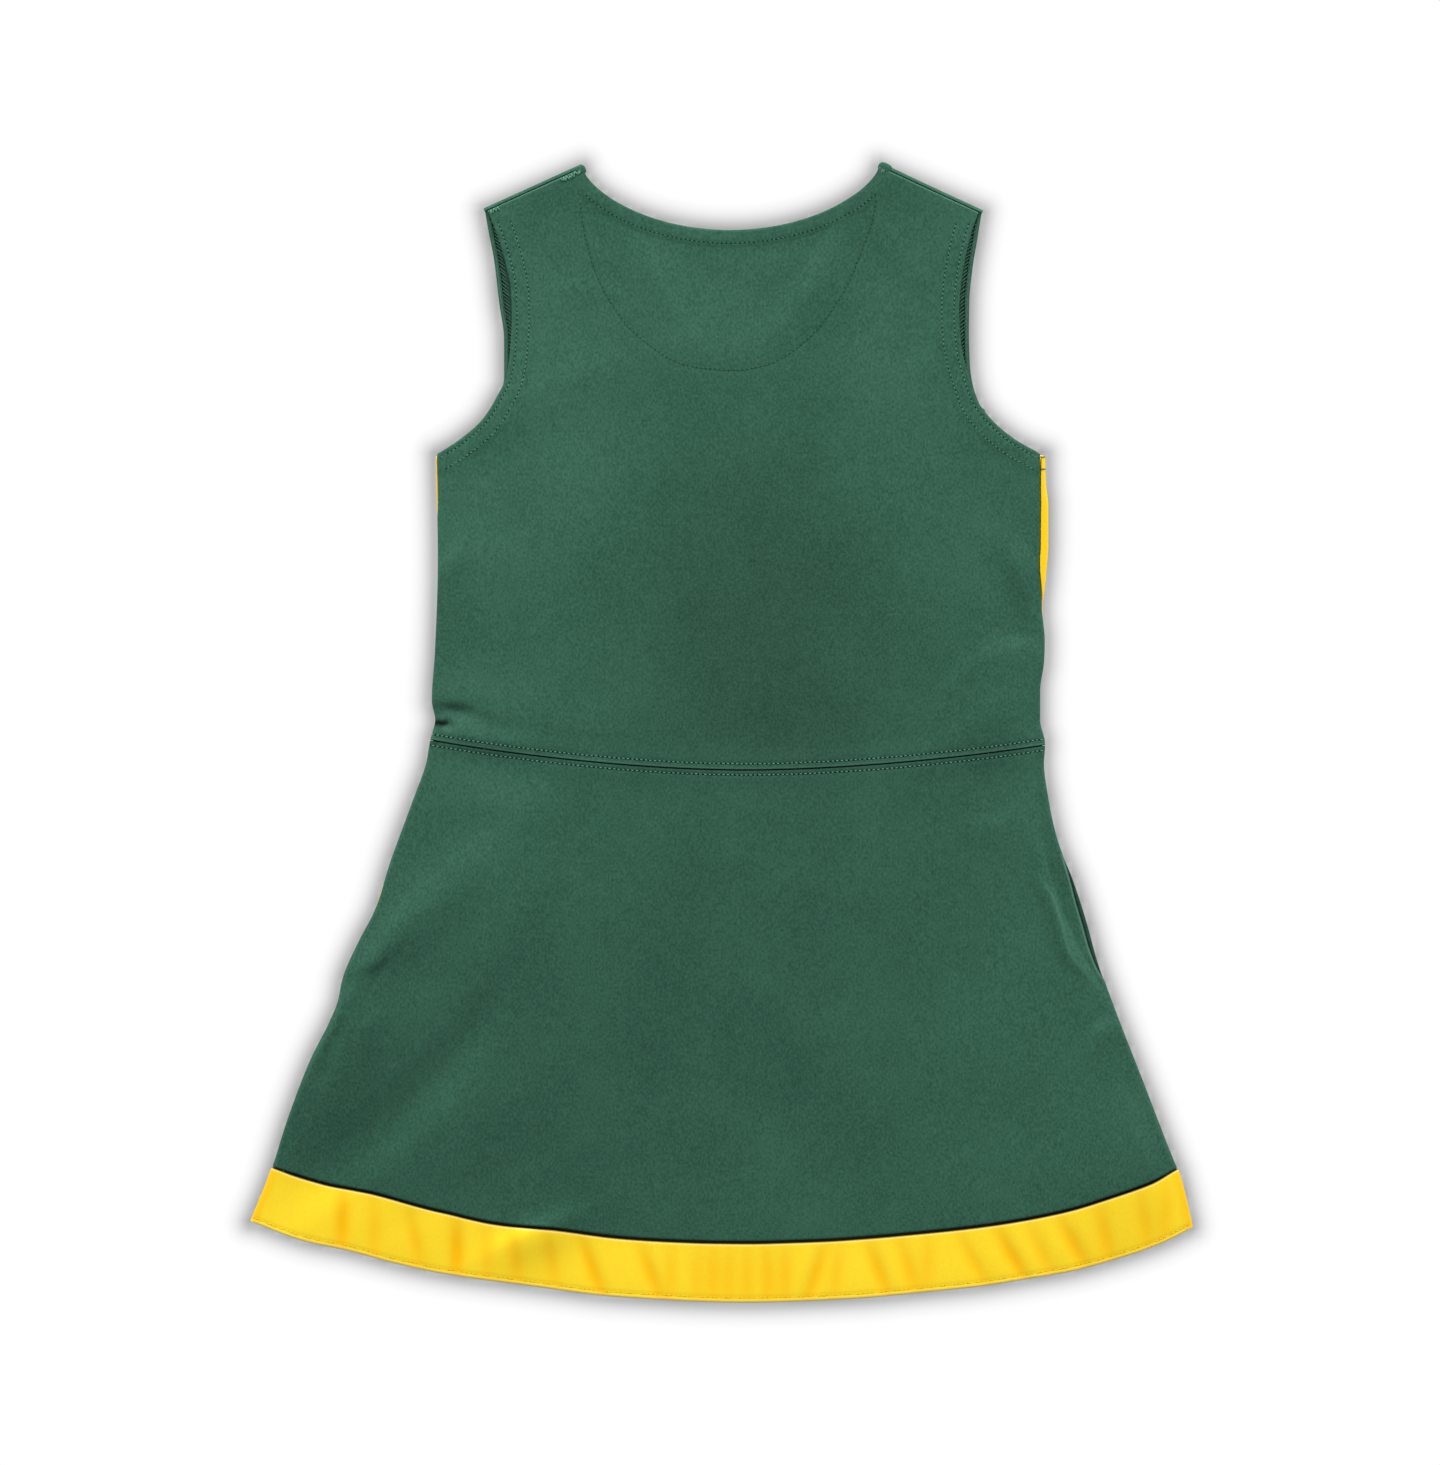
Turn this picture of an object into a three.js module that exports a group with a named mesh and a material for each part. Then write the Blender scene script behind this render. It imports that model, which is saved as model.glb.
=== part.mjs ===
// A girl's sleeveless cheerleader dress, laid out on its front with its back up.
// Millimetres. +X is to the right of the laid-out back, +Y runs from the hem to the shoulders, and +Z is up from the
// surface. The dress is a tube pressed flat: the back lies on the front, the front rolls over the shoulders to meet the
// back, and a contrast side panel rolls round each side fold. Every piece is a wall of even thickness about a
// mid-surface, and pieces that are sewn together stay a seam gap apart.

import * as THREE from "three";

// Cloth
const CLOTH = 1.0; // thickness of one layer of knit
const BAND_PROUD = 0.3; // the hem band is knit turned double, so it stands a little higher than the skirt
const SEAM_GAP = 0.3; // between two pieces that are sewn together
const ROLL_GAP = 0.7; // the same on a fold, where the inner faces draw together
const LAYER_GAP = 0.3; // least air between the back and the front
const FRONT_LEVEL = CLOTH / 2; // height of the front's mid-surface
const BACK_LEVEL = FRONT_LEVEL + CLOTH + LAYER_GAP; // lowest height of the back's mid-surface
const HALF_TURN = Math.PI;
const PASSES = 12; // of an estimate that is made better in rounds

// Colours
const GREEN = { color: 0x2f6a4a, roughness: 0.75, metalness: 0 };
const GOLD = { color: 0xf8c40f, roughness: 0.7, metalness: 0 };

// Outline of the two sides, from the hem to the underarm: how far out the fold's crest lies at each height.
const UNDERARM = 139;
const ARMHOLE_BEND = 178; // height at which the armholes turn up to the shoulders
const LEFT = {
  name: "left",
  sign: -1,
  crest: [
    { y: -245, x: -235.25 },
    { y: -219, x: -224.8 },
    { y: -194, x: -216.8 },
    { y: -164, x: -205.3 },
    { y: -144, x: -195.3 },
    { y: -134, x: -191.3 },
    { y: -124, x: -189.3 },
    { y: -104, x: -180.8 },
    { y: -90, x: -173.5 },
    { y: -64, x: -165 },
    { y: -34, x: -154 },
    { y: -14, x: -147 },
    { y: -4, x: -145.2 },
    { y: 6, x: -142.8 },
    { y: 16, x: -144.5 },
    { y: 40, x: -143 },
    { y: 86, x: -141.5 },
    { y: UNDERARM, x: -142.5 },
  ],
  // Where the back's side seam lies: cloth from the fold's crest to the seam, more than 0 on top, less than 0 underneath.
  seam: [
    { y: -245, d: -1.2 },
    { y: -114, d: -1.2 },
    { y: -82, d: 0.5 },
    { y: -52, d: -1.2 },
    { y: 96, d: -1.2 },
    { y: 106, d: 0 },
    { y: 116, d: 1 },
    { y: UNDERARM, d: 1.2 },
  ],
  // Armhole edges, from the underarm to the shoulder seam.
  backArmhole: [
    { y: UNDERARM, x: -141.6 },
    { y: 146, x: -130.8 },
    { y: 156, x: -119.3 },
    { y: 166, x: -112.8 },
    { y: 177.5, x: -107.3 },
    { y: 190, x: -105.3 },
    { y: 208, x: -104.3 },
    { y: 221, x: -104.8 },
    { y: 234, x: -107.3 },
    { y: 247.5, x: -111.3 },
    { y: 260.8, x: -116.6 },
  ],
  frontArmhole: [
    { y: UNDERARM, x: -142.5 },
    { y: 145, x: -131.5 },
    { y: 154.5, x: -120.5 },
    { y: 164, x: -114 },
    { y: 177, x: -108.3 },
    { y: 196, x: -108.3 },
    { y: 215, x: -110.8 },
    { y: 236, x: -113.3 },
    { y: 250, x: -116 },
    { y: 260.8, x: -117.9 },
  ],
  // Seam between the front and the side panel, underneath.
  frontSeam: [
    { y: -245, x: -190 },
    { y: -150, x: -161 },
    { y: -60, x: -134 },
    { y: 0, x: -117 },
    { y: 60, x: -113 },
    { y: 162, x: -113 },
  ],
  tip: { x: -116.6, y: 260.8 }, // outer end of the shoulder seam
  frontTip: -117.9, // x of the front there
  neck: { x: -69.2, y: 282.3 }, // inner end of the shoulder seam
};
const RIGHT = {
  name: "right",
  sign: 1,
  crest: [
    { y: -246, x: 235.25 },
    { y: -220, x: 228.8 },
    { y: -214, x: 226.3 },
    { y: -174, x: 210.8 },
    { y: -134, x: 195.3 },
    { y: -114, x: 188.3 },
    { y: -94, x: 182.8 },
    { y: -74, x: 176.3 },
    { y: -54, x: 168.3 },
    { y: -34, x: 163.8 },
    { y: -14, x: 161.3 },
    { y: -6, x: 161.8 },
    { y: 6, x: 159.5 },
    { y: 21, x: 159.5 },
    { y: 36, x: 161.5 },
    { y: 46, x: 161.8 },
    { y: 61, x: 160.6 },
    { y: 78, x: 162.3 },
    { y: 95, x: 163.5 },
    { y: 113, x: 163.5 },
    { y: 124, x: 162.3 },
    { y: UNDERARM, x: 161.8 },
  ],
  seam: [
    { y: -245, d: -1.2 },
    { y: 34, d: -1.2 },
    { y: 61, d: 0.6 },
    { y: 88, d: 4.5 },
    { y: 113, d: 4 },
    { y: 124, d: 2.8 },
    { y: UNDERARM, d: 2.2 },
  ],
  backArmhole: [
    { y: UNDERARM, x: 159.9 },
    { y: 146, x: 147.3 },
    { y: 156, x: 135.3 },
    { y: 166, x: 127.8 },
    { y: 175.7, x: 124.4 },
    { y: 186, x: 121.3 },
    { y: 196, x: 119.6 },
    { y: 210, x: 118.8 },
    { y: 224.5, x: 119.8 },
    { y: 236, x: 121.7 },
    { y: 249.5, x: 124.9 },
    { y: 260, x: 128.6 },
  ],
  frontArmhole: [
    { y: UNDERARM, x: 161.8 },
    { y: 145, x: 148.5 },
    { y: 154.5, x: 136.5 },
    { y: 164, x: 129.2 },
    { y: 175, x: 125.5 },
    { y: 184, x: 124.3 },
    { y: 199.5, x: 123.8 },
    { y: 215, x: 124 },
    { y: 231, x: 125.5 },
    { y: 247.5, x: 128.2 },
    { y: 260, x: 130.2 },
  ],
  frontSeam: [
    { y: -245, x: 192 },
    { y: -150, x: 166 },
    { y: -60, x: 143 },
    { y: 0, x: 133 },
    { y: 60, x: 132 },
    { y: 162, x: 132 },
  ],
  tip: { x: 128.6, y: 260 },
  frontTip: 130.2,
  neck: { x: 79, y: 282.9 },
};

// Neckline, waist and hem.
const NECK_DEPTH_BACK = 31.7;
const NECK_DEPTH_FRONT = 72;
const NECK_POWER = 4 / 3; // squareness of the scoop
const MIDDLE = 12; // x of the lowest point of the waist seam
const WAIST = { low: -19, left: { rise: 15, reach: 157, power: 1.8 }, right: { rise: 12.5, reach: 150, power: 1.8 } };
const BAND_TOP = [
  { x: -224.8, y: -218.5 },
  { x: -210, y: -223 },
  { x: -185, y: -229.5 },
  { x: -160, y: -236 },
  { x: -135, y: -241.7 },
  { x: -110, y: -246 },
  { x: -60, y: -252.3 },
  { x: 12, y: -256.1 },
  { x: 65, y: -254.5 },
  { x: 115, y: -249.5 },
  { x: 140, y: -246.5 },
  { x: 165, y: -242 },
  { x: 190, y: -235 },
  { x: 215, y: -226 },
  { x: 228, y: -219.5 },
];
const HEM = [
  { x: -235.3, y: -244 },
  { x: -208, y: -254 },
  { x: -185, y: -259 },
  { x: -163, y: -265 },
  { x: -140, y: -270 },
  { x: -95, y: -276.4 },
  { x: -50, y: -282 },
  { x: 12, y: -284.7 },
  { x: 62, y: -283 },
  { x: 107, y: -279 },
  { x: 130, y: -276.5 },
  { x: 152, y: -273 },
  { x: 175, y: -269 },
  { x: 197, y: -263 },
  { x: 220, y: -255 },
  { x: 235.3, y: -247.3 },
];
const FRONT_SHORTER = { by: 1.6, reach: 175 }; // the front's hem hides behind the back's
const FRONT_SEAM_TOP = 161; // height at which the front's side seams run out into its armholes
const BAND_JOIN = 4; // from the start of a side's roll underneath to the join of the two hem bands

// Finish of the edges: cloth turned under and stitched down stands proud.
const TURNED_HEM = { width: 6.5, proud: 0.35 };
const WAIST_LIP = { width: 4.6, fade: 1.5, proud: 0.55, edge: 0.3 };

// How the back lies: it lifts off the front near its folds and open edges, and it carries these folds.
const EDGE_LIFT = 1.4;
const SOFTNESS = 0.3; // height over which a trough fades into where the back rests on the front
const SIDE_REACH = 30;
const TOP_REACH = 15;
const HEM_REACH = 28;
const FOLDS = [
  { at: "left of skirt, from the hip", x: -168, y: -118, turn: 50, length: 46, width: 13, height: 2.8, bend: 4 },
  { at: "left of skirt, low", x: -122, y: -190, turn: 45, length: 62, width: 17, height: 2, bend: 0 },
  { at: "left of skirt, valley between", x: -152, y: -168, turn: 45, length: 55, width: 12, height: -0.9, bend: 0 },
  { at: "left of skirt, under the waist", x: -122, y: -34, turn: -6, length: 26, width: 8, height: 0.8, bend: 0 },
  { at: "right of skirt, along the edge", x: 180.5, y: -100, turn: -67, length: 30, width: 4, height: 1.6, bend: 0 },
  { at: "right of skirt, trough inside it", x: 171.5, y: -101, turn: -67, length: 28, width: 5, height: -0.9, bend: 0 },
  { at: "right of skirt, under the waist", x: 137, y: -40, turn: 22, length: 17, width: 7, height: 0.7, bend: 0 },
  { at: "middle of skirt, over the hem", x: -80, y: -238, turn: 20, length: 26, width: 8, height: 0.9, bend: 0 },
  { at: "right of skirt, low", x: 190, y: -196, turn: 60, length: 34, width: 15, height: 0.8, bend: 0 },
  { at: "right of bodice, over the waist", x: 124, y: 18, turn: 33, length: 40, width: 9, height: 1.8, bend: -6 },
  { at: "right of bodice, in the side", x: 150, y: 96, turn: -50, length: 14, width: 6, height: 0.8, bend: 0 },
  { at: "left of bodice, over the waist", x: -118, y: 2, turn: -14, length: 32, width: 6, height: 1.5, bend: 0 },
  { at: "left of bodice, pinch", x: -135, y: 13, turn: 0, length: 13, width: 4, height: -1, bend: 0 },
  { at: "left of bodice, over the pinch", x: -130, y: 24, turn: -8, length: 24, width: 7, height: 0.9, bend: 0 },
  { at: "left of bodice, in the side", x: -131, y: 104, turn: 68, length: 20, width: 5, height: 0.7, bend: 0 },
  { at: "left of back, by the armhole", x: -72, y: 180, turn: 8, length: 28, width: 9, height: 0.7, bend: 0 },
  { at: "left of back, from the neck", x: -26, y: 222, turn: -57, length: 26, width: 9, height: 0.6, bend: 0 },
  { at: "right of back, from the neck", x: 45, y: 222, turn: 54, length: 30, width: 9, height: 0.8, bend: 0 },
  { at: "right of back, by the armhole", x: 96, y: 190, turn: 70, length: 34, width: 11, height: 0.6, bend: 0 },
];
// Puckers across the hem band: x at its middle, lean in x for each unit of height, and depth.
const PUCKER_WIDTH = 3.2;
const PUCKERS = [
  { x: -189, lean: 0.05, depth: 0.7 },
  { x: -173, lean: 0, depth: 0.35 },
  { x: -153, lean: -0.2, depth: 0.45 },
  { x: -132, lean: 0, depth: 0.8 },
  { x: -117, lean: 0, depth: 0.35 },
  { x: -103, lean: -0.1, depth: 0.45 },
  { x: -85, lean: -0.15, depth: 0.4 },
  { x: -65, lean: -0.35, depth: 0.7 },
  { x: -36, lean: -0.35, depth: 0.6 },
  { x: -25, lean: 0, depth: 0.35 },
  { x: -12, lean: 0, depth: 0.35 },
  { x: -4, lean: 0, depth: 0.45 },
  { x: 4, lean: 0, depth: 0.4 },
  { x: 13, lean: 0, depth: 0.4 },
  { x: 23, lean: -0.05, depth: 0.5 },
  { x: 32, lean: 0, depth: 0.45 },
  { x: 48, lean: 0.3, depth: 0.6 },
  { x: 58, lean: 0.1, depth: 0.35 },
  { x: 78, lean: -0.35, depth: 0.6 },
  { x: 93, lean: -0.25, depth: 0.5 },
  { x: 103, lean: 0, depth: 0.35 },
  { x: 125, lean: -0.5, depth: 0.45 },
  { x: 144, lean: -0.5, depth: 0.7 },
  { x: 159, lean: -0.4, depth: 0.4 },
  { x: 175, lean: -0.45, depth: 0.6 },
  { x: 191, lean: -0.2, depth: 0.5 },
  { x: 211, lean: -0.15, depth: 0.4 },
  { x: 222, lean: 0, depth: 0.35 },
];

const lerp = THREE.MathUtils.lerp;
const clamp = THREE.MathUtils.clamp;

// A smooth function through the rows of a table, from one named column to another. It never overshoots a row, and it
// is level past the ends.
function curve(rows, from, to) {
  const [x, y] = [from, to].map((name) => [...rows].sort((a, b) => a[from] - b[from]).map((row) => row[name]));
  const last = x.length - 1;
  const step = x.slice(1).map((value, i) => value - x[i]);
  const rate = step.map((width, i) => (y[i + 1] - y[i]) / width);
  const slope = x.map((_, i) => {
    if (i === 0 || i === last) return rate[Math.min(i, last - 1)];
    if (rate[i - 1] * rate[i] <= 0) return 0;
    const [before, after] = [2 * step[i] + step[i - 1], step[i] + 2 * step[i - 1]];
    return (before + after) / (before / rate[i - 1] + after / rate[i]);
  });
  return (value) => {
    const at = clamp(value, x[0], x[last]);
    const i = clamp(x.findIndex((knot) => knot > at) - 1, 0, last - 1);
    const j = at >= x[last] ? last - 1 : i;
    const t = (at - x[j]) / step[j];
    const ease = t * t * (3 - 2 * t);
    const bend = step[j] * t * (1 - t) * ((1 - t) * slope[j] - t * slope[j + 1]);
    return y[j] + (y[j + 1] - y[j]) * ease + bend;
  };
}

for (const side of [LEFT, RIGHT]) {
  side.crestX = curve(side.crest, "y", "x");
  side.seamD = curve(side.seam, "y", "d");
  side.frontSeamX = curve(side.frontSeam, "y", "x");
  side.backArmholeX = curve(side.backArmhole, "y", "x");
  side.frontArmholeX = curve(side.frontArmhole, "y", "x");
  side.frontArmholeY = curve(side.frontArmhole.filter(({ y }) => y < ARMHOLE_BEND), "x", "y");
  side.along = new THREE.Vector2(side.neck.x - side.tip.x, side.neck.y - side.tip.y).normalize();
  side.out = new THREE.Vector2(side.sign * Math.abs(side.along.y), Math.abs(side.along.x)); // off the shoulder
}

function waistY(x) {
  const half = x < MIDDLE ? WAIST.left : WAIST.right;
  return WAIST.low + half.rise * Math.min(1, Math.abs(x - MIDDLE) / half.reach) ** half.power;
}
const bandTopY = curve(BAND_TOP, "x", "y");
const hemY = curve(HEM, "x", "y");

// A scoop between two neck points: its point at a turn of 0 to half a turn.
function scoop(from, to, depth, turn) {
  const share = (1 - Math.cos(turn)) / 2;
  return { x: lerp(from.x, to.x, share), y: lerp(from.y, to.y, share) - depth * Math.sin(turn) ** NECK_POWER };
}

// The back's top edge as a function of x: a shoulder seam, the neckline, the other shoulder seam.
function topY(x) {
  if (x > LEFT.neck.x && x < RIGHT.neck.x) {
    const share = (x - LEFT.neck.x) / (RIGHT.neck.x - LEFT.neck.x);
    return scoop(LEFT.neck, RIGHT.neck, NECK_DEPTH_BACK, Math.acos(1 - 2 * share)).y;
  }
  const side = x < MIDDLE ? LEFT : RIGHT;
  return side.neck.y + ((x - side.neck.x) * side.along.y) / side.along.x;
}

const outlineX = (side, y) => (y <= UNDERARM ? side.crestX(y) : side.backArmholeX(y));
const bell = (value) => Math.exp(-value * value);

// A ridge or trough: a bell across its line and along it, and the line may be bent.
function foldHeight(fold, x, y) {
  const turn = THREE.MathUtils.degToRad(fold.turn);
  const [dx, dy] = [x - fold.x, y - fold.y];
  const u = (dx * Math.cos(turn) + dy * Math.sin(turn)) / fold.length;
  const v = (dy * Math.cos(turn) - dx * Math.sin(turn) - fold.bend * u * u) / fold.width;
  return fold.height * bell(u) * bell(v);
}

function puckerHeight(x, y) {
  const middle = (hemY(x) + bandTopY(x)) / 2;
  const inBand = bell((y - middle) / (bandTopY(x) - hemY(x)));
  return PUCKERS.reduce((sum, p) => sum - p.depth * inBand * bell((x - p.x - p.lean * (y - middle)) / PUCKER_WIDTH), 0);
}

// Height of the back's mid-surface.
function backHeight(x, y) {
  const lifts = [
    bell((x - outlineX(LEFT, y)) / SIDE_REACH),
    bell((x - outlineX(RIGHT, y)) / SIDE_REACH),
    bell((topY(x) - y) / TOP_REACH),
    bell((y - hemY(x)) / HEM_REACH),
  ];
  const flat = lifts.reduce((product, lift) => product * (1 - lift), 1);
  const folds = FOLDS.reduce((sum, fold) => sum + foldHeight(fold, x, y), 0);
  const relief = EDGE_LIFT * (1 - flat) + folds + puckerHeight(x, y);
  return BACK_LEVEL + (relief + Math.hypot(relief, SOFTNESS)) / 2; // never below where it rests on the front
}

// The roll of cloth round a side fold: where its upper and lower ends lie, and its radius.
function roll(side, y) {
  let radius = EDGE_LIFT;
  let start = 0;
  for (let pass = 0; pass < PASSES; pass++) {
    start = side.crestX(y) - side.sign * (CLOTH / 2 + radius);
    radius = (backHeight(start, y) - FRONT_LEVEL) / 2;
  }
  return { start, radius, quarter: (radius * HALF_TURN) / 2 };
}

// A point of the tube at a side: d is cloth from the fold's crest, more than 0 over the back.
function round(side, d, y) {
  const { start, radius, quarter } = roll(side, y);
  if (d > quarter) {
    const x = start - side.sign * (d - quarter);
    return new THREE.Vector3(x, y, backHeight(x, y));
  }
  if (d < -quarter) return new THREE.Vector3(start - side.sign * (-d - quarter), y, FRONT_LEVEL);
  const angle = d / radius;
  return new THREE.Vector3(
    start + side.sign * radius * Math.cos(angle),
    y,
    FRONT_LEVEL + radius + radius * Math.sin(angle),
  );
}

// A point of the back from its flat pattern: past the start of a side's roll it goes round the fold.
function layBack(x, y) {
  const side = x < MIDDLE ? LEFT : RIGHT;
  if (y > UNDERARM) return new THREE.Vector3(x, y, backHeight(x, y));
  const { start, quarter } = roll(side, y);
  return round(side, quarter - side.sign * (x - start), y);
}

// The roll over a shoulder at a point of the front's flat pattern: how far the cloth runs past its start.
function shoulder(side, x, y) {
  const [dx, dy] = [x - side.tip.x, y - side.tip.y];
  const past = dx * side.out.x + dy * side.out.y;
  const foot = { x: x - past * side.out.x, y: y - past * side.out.y };
  return { past, radius: (backHeight(foot.x, foot.y) - FRONT_LEVEL) / 2 };
}

// A point of the front from its flat pattern: past a shoulder's fold it rolls over to the back.
function layFront(x, y) {
  const side = x < MIDDLE ? LEFT : RIGHT;
  const { past, radius } = shoulder(side, x, y);
  if (past <= 0) return new THREE.Vector3(x, y, FRONT_LEVEL);
  const angle = past / radius;
  const back = radius * Math.sin(angle) - past;
  return new THREE.Vector3(
    x + back * side.out.x,
    y + back * side.out.y,
    FRONT_LEVEL + radius - radius * Math.cos(angle),
  );
}

// Columns of a panel: a share from 0 to 1 of each zone between two knots.
function evenColumns(counts) {
  const columns = [{ zone: 0, share: 0 }];
  counts.forEach((count, zone) => {
    for (let i = 1; i <= count; i++) columns.push({ zone, share: i / count });
  });
  return columns;
}
const within = (knots, column) => lerp(knots[column.zone], knots[column.zone + 1], column.share);

// The column of a panel that runs through a point of its top edge.
function columnThrough({ x, y }, knotsAt) {
  const knots = knotsAt(y);
  const zone = knots.slice(1, -1).filter((knot) => x > knot).length;
  return { zone, share: clamp((x - knots[zone]) / (knots[zone + 1] - knots[zone]), 0, 1) };
}

// The height at which a column meets a line across the panel.
function meet(panel, column, line) {
  let y = line(0);
  for (let pass = 0; pass < PASSES; pass++) y = line(panel.lay(within(panel.knots(y), column), y).x);
  return y;
}

// Rows of points of a panel's mid-surface, from its bottom edge to its top edge. Each guide is a line across the
// panel, or a height for each column, and is reached in a number of rows from the guide below.
function gridOf({ guides, ...panel }) {
  const heightsOf = ({ line }) => panel.columns.map((column) => meet(panel, column, line));
  const heights = guides.map((guide) => guide.heights ?? heightsOf(guide));
  const place = (y, c) => panel.lay(within(panel.knots(y), panel.columns[c]), y);
  const grid = [heights[0].map(place)];
  for (let g = 1; g < guides.length; g++) {
    for (let step = 1; step <= guides[g].rows; step++) {
      grid.push(heights[g].map((y, c) => place(lerp(heights[g - 1][c], y, step / guides[g].rows), c)));
    }
  }
  return grid;
}

// A closed wall about a grid of points, with no cell where a corner is missing. proud(row, column) adds cloth to its
// outer face.
function wall(grid, proud = () => 0) {
  const outer = [];
  const inner = [];
  const ids = grid.map((row) => row.map(() => -1));
  const near = (r, c, here) => grid[r]?.[c] ?? here;
  grid.forEach((row, r) => {
    row.forEach((here, c) => {
      if (!here) return;
      const across = near(r, c + 1, here).clone().sub(near(r, c - 1, here));
      const up = near(r + 1, c, here).clone().sub(near(r - 1, c, here));
      const normal = across.cross(up).normalize();
      ids[r][c] = outer.length;
      outer.push(here.clone().addScaledVector(normal, CLOTH / 2 + proud(r, c)));
      inner.push(here.clone().addScaledVector(normal, -CLOTH / 2));
    });
  });
  const index = [];
  const edges = new Map();
  const under = outer.length;
  for (let r = 0; r < grid.length - 1; r++) {
    for (let c = 0; c < grid[r].length - 1; c++) {
      const cell = [ids[r][c], ids[r][c + 1], ids[r + 1][c + 1], ids[r + 1][c]];
      if (cell.includes(-1)) continue;
      const [a, b, d, e] = cell;
      index.push(a, b, d, a, d, e);
      index.push(under + a, under + d, under + b, under + a, under + e, under + d);
      cell.forEach((from, i) => edges.set(`${from} ${cell[(i + 1) % 4]}`, [from, cell[(i + 1) % 4]]));
    }
  }
  for (const [a, b] of edges.values()) {
    if (!edges.has(`${b} ${a}`)) index.push(a, under + a, under + b, a, under + b, b);
  }
  const geometry = new THREE.BufferGeometry();
  const points = [...outer, ...inner].flatMap((p) => [p.x, p.y, p.z]);
  geometry.setAttribute("position", new THREE.Float32BufferAttribute(points, 3));
  geometry.setIndex(index);
  geometry.computeVertexNormals();
  return geometry;
}

const shifted = (line, by) => (x) => line(x) + by;
const spread = (from, to, steps) => Array.from({ length: steps }, (_, i) => lerp(from, to, i / steps));

// Counts of cells. A side zone is the roll of cloth at a fold, or the turned hem of an armhole.
const CELLS = { side: 4, shoulder: 3, backScoop: 20, frontScoop: 14, skirt: 27, band: 108, bandSide: 7, roll: 5 };
const WAIST_LIP_END = WAIST_LIP.width + WAIST_LIP.fade;

// How proud the lip stands, row by row from the waist seam.
const LIP_ROWS = [WAIST_LIP.edge, WAIST_LIP.proud, WAIST_LIP.proud];

// Knots across the back at a height: side seam, start of the roll, start of the other roll, other side seam.
const ROLL_MARGIN = 2;
function backKnots(y, seamOf = (side) => side.seamD(y)) {
  const [left, right] = [LEFT, RIGHT].map((side) => {
    if (y > UNDERARM) {
      const x = side.backArmholeX(y);
      return { edge: x, inside: x - side.sign * TURNED_HEM.width };
    }
    const { start, quarter } = roll(side, y);
    const past = quarter - seamOf(side, quarter) - SEAM_GAP / 2;
    return { edge: start + side.sign * past, inside: start - side.sign * Math.max(0, ROLL_MARGIN - past) };
  });
  return [left.edge, left.inside, right.inside, right.edge];
}

// Guides that the back and the side panels share, so that they meet row by row.
const bodiceGuides = (top) => [
  { line: shifted(waistY, SEAM_GAP / 2) },
  { line: shifted(waistY, WAIST_LIP.width), rows: 2 },
  { line: shifted(waistY, WAIST_LIP_END), rows: 1 },
  { line: top, rows: 10 },
];
const skirtGuides = [
  { line: shifted(bandTopY, SEAM_GAP / 2) },
  { line: shifted(waistY, -WAIST_LIP_END), rows: 16 },
  { line: shifted(waistY, -WAIST_LIP.width), rows: 1 },
  { line: shifted(waistY, -SEAM_GAP / 2), rows: 2 },
];

function backBodice() {
  const hem = TURNED_HEM.width;
  const { side, shoulder: seam, backScoop } = CELLS;
  const neck = spread(0, HALF_TURN, backScoop).map((turn) => scoop(LEFT.neck, RIGHT.neck, NECK_DEPTH_BACK, turn).x);
  const across = [
    ...spread(LEFT.tip.x, LEFT.tip.x + hem, side),
    ...spread(LEFT.tip.x + hem, LEFT.neck.x, seam),
    ...neck,
    ...spread(RIGHT.neck.x, RIGHT.tip.x - hem, seam),
    ...spread(RIGHT.tip.x - hem, RIGHT.tip.x, side),
    RIGHT.tip.x,
  ];
  const top = across.map((x) => ({ x, y: topY(x) - SEAM_GAP / 2 }));
  const grid = gridOf({
    knots: backKnots,
    lay: layBack,
    columns: top.map((point) => columnThrough(point, backKnots)),
    guides: [
      ...bodiceGuides(() => UNDERARM),
      { line: () => ARMHOLE_BEND, rows: 5 },
      { heights: top.map(({ y }) => y - hem), rows: 7 },
      { heights: top.map(({ y }) => y), rows: 2 },
    ],
  });
  const lastRow = grid.length - 1;
  const inNeck = (c) => c >= side + seam && c <= side + seam + backScoop;
  const inBack = (c) => c > side && c < top.length - 1 - side;
  const proud = (r, c) => {
    if (r > lastRow - 2 && inNeck(c)) return TURNED_HEM.proud;
    return inBack(c) ? (LIP_ROWS[r] ?? 0) : 0;
  };
  return wall(grid, proud);
}

function backSkirt() {
  const { side, skirt } = CELLS;
  const grid = gridOf({ knots: backKnots, lay: layBack, columns: evenColumns([side, skirt, side]), guides: skirtGuides });
  const lastRow = grid.length - 1;
  return wall(grid, (r, c) => (c > side && c < side + skirt ? (LIP_ROWS[lastRow - r] ?? 0) : 0));
}

function backHemBand() {
  const { bandSide: side, band } = CELLS;
  const grid = gridOf({
    knots: (y) => backKnots(y, (_, quarter) => -quarter - BAND_JOIN),
    lay: layBack,
    columns: evenColumns([side, band, side]),
    guides: [{ line: hemY }, { line: shifted(bandTopY, -SEAM_GAP / 2), rows: 4 }],
  });
  return wall(grid, (r, c) => (c > side && c < side + band ? BAND_PROUD : 0));
}

// The front is seen from its inside, so its columns run from right to left and its outer face is down.
const turnedOver = (grid) => grid.map((row) => [...row].reverse());

// Knots across the front at a height: its side seams underneath, and the armhole edges above them.
function frontKnots(y) {
  return [LEFT, RIGHT].map((side) => {
    if (y > FRONT_SEAM_TOP) return side.frontArmholeX(y);
    return side.frontSeamX(y) - (side.sign * SEAM_GAP) / 2;
  });
}

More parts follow.
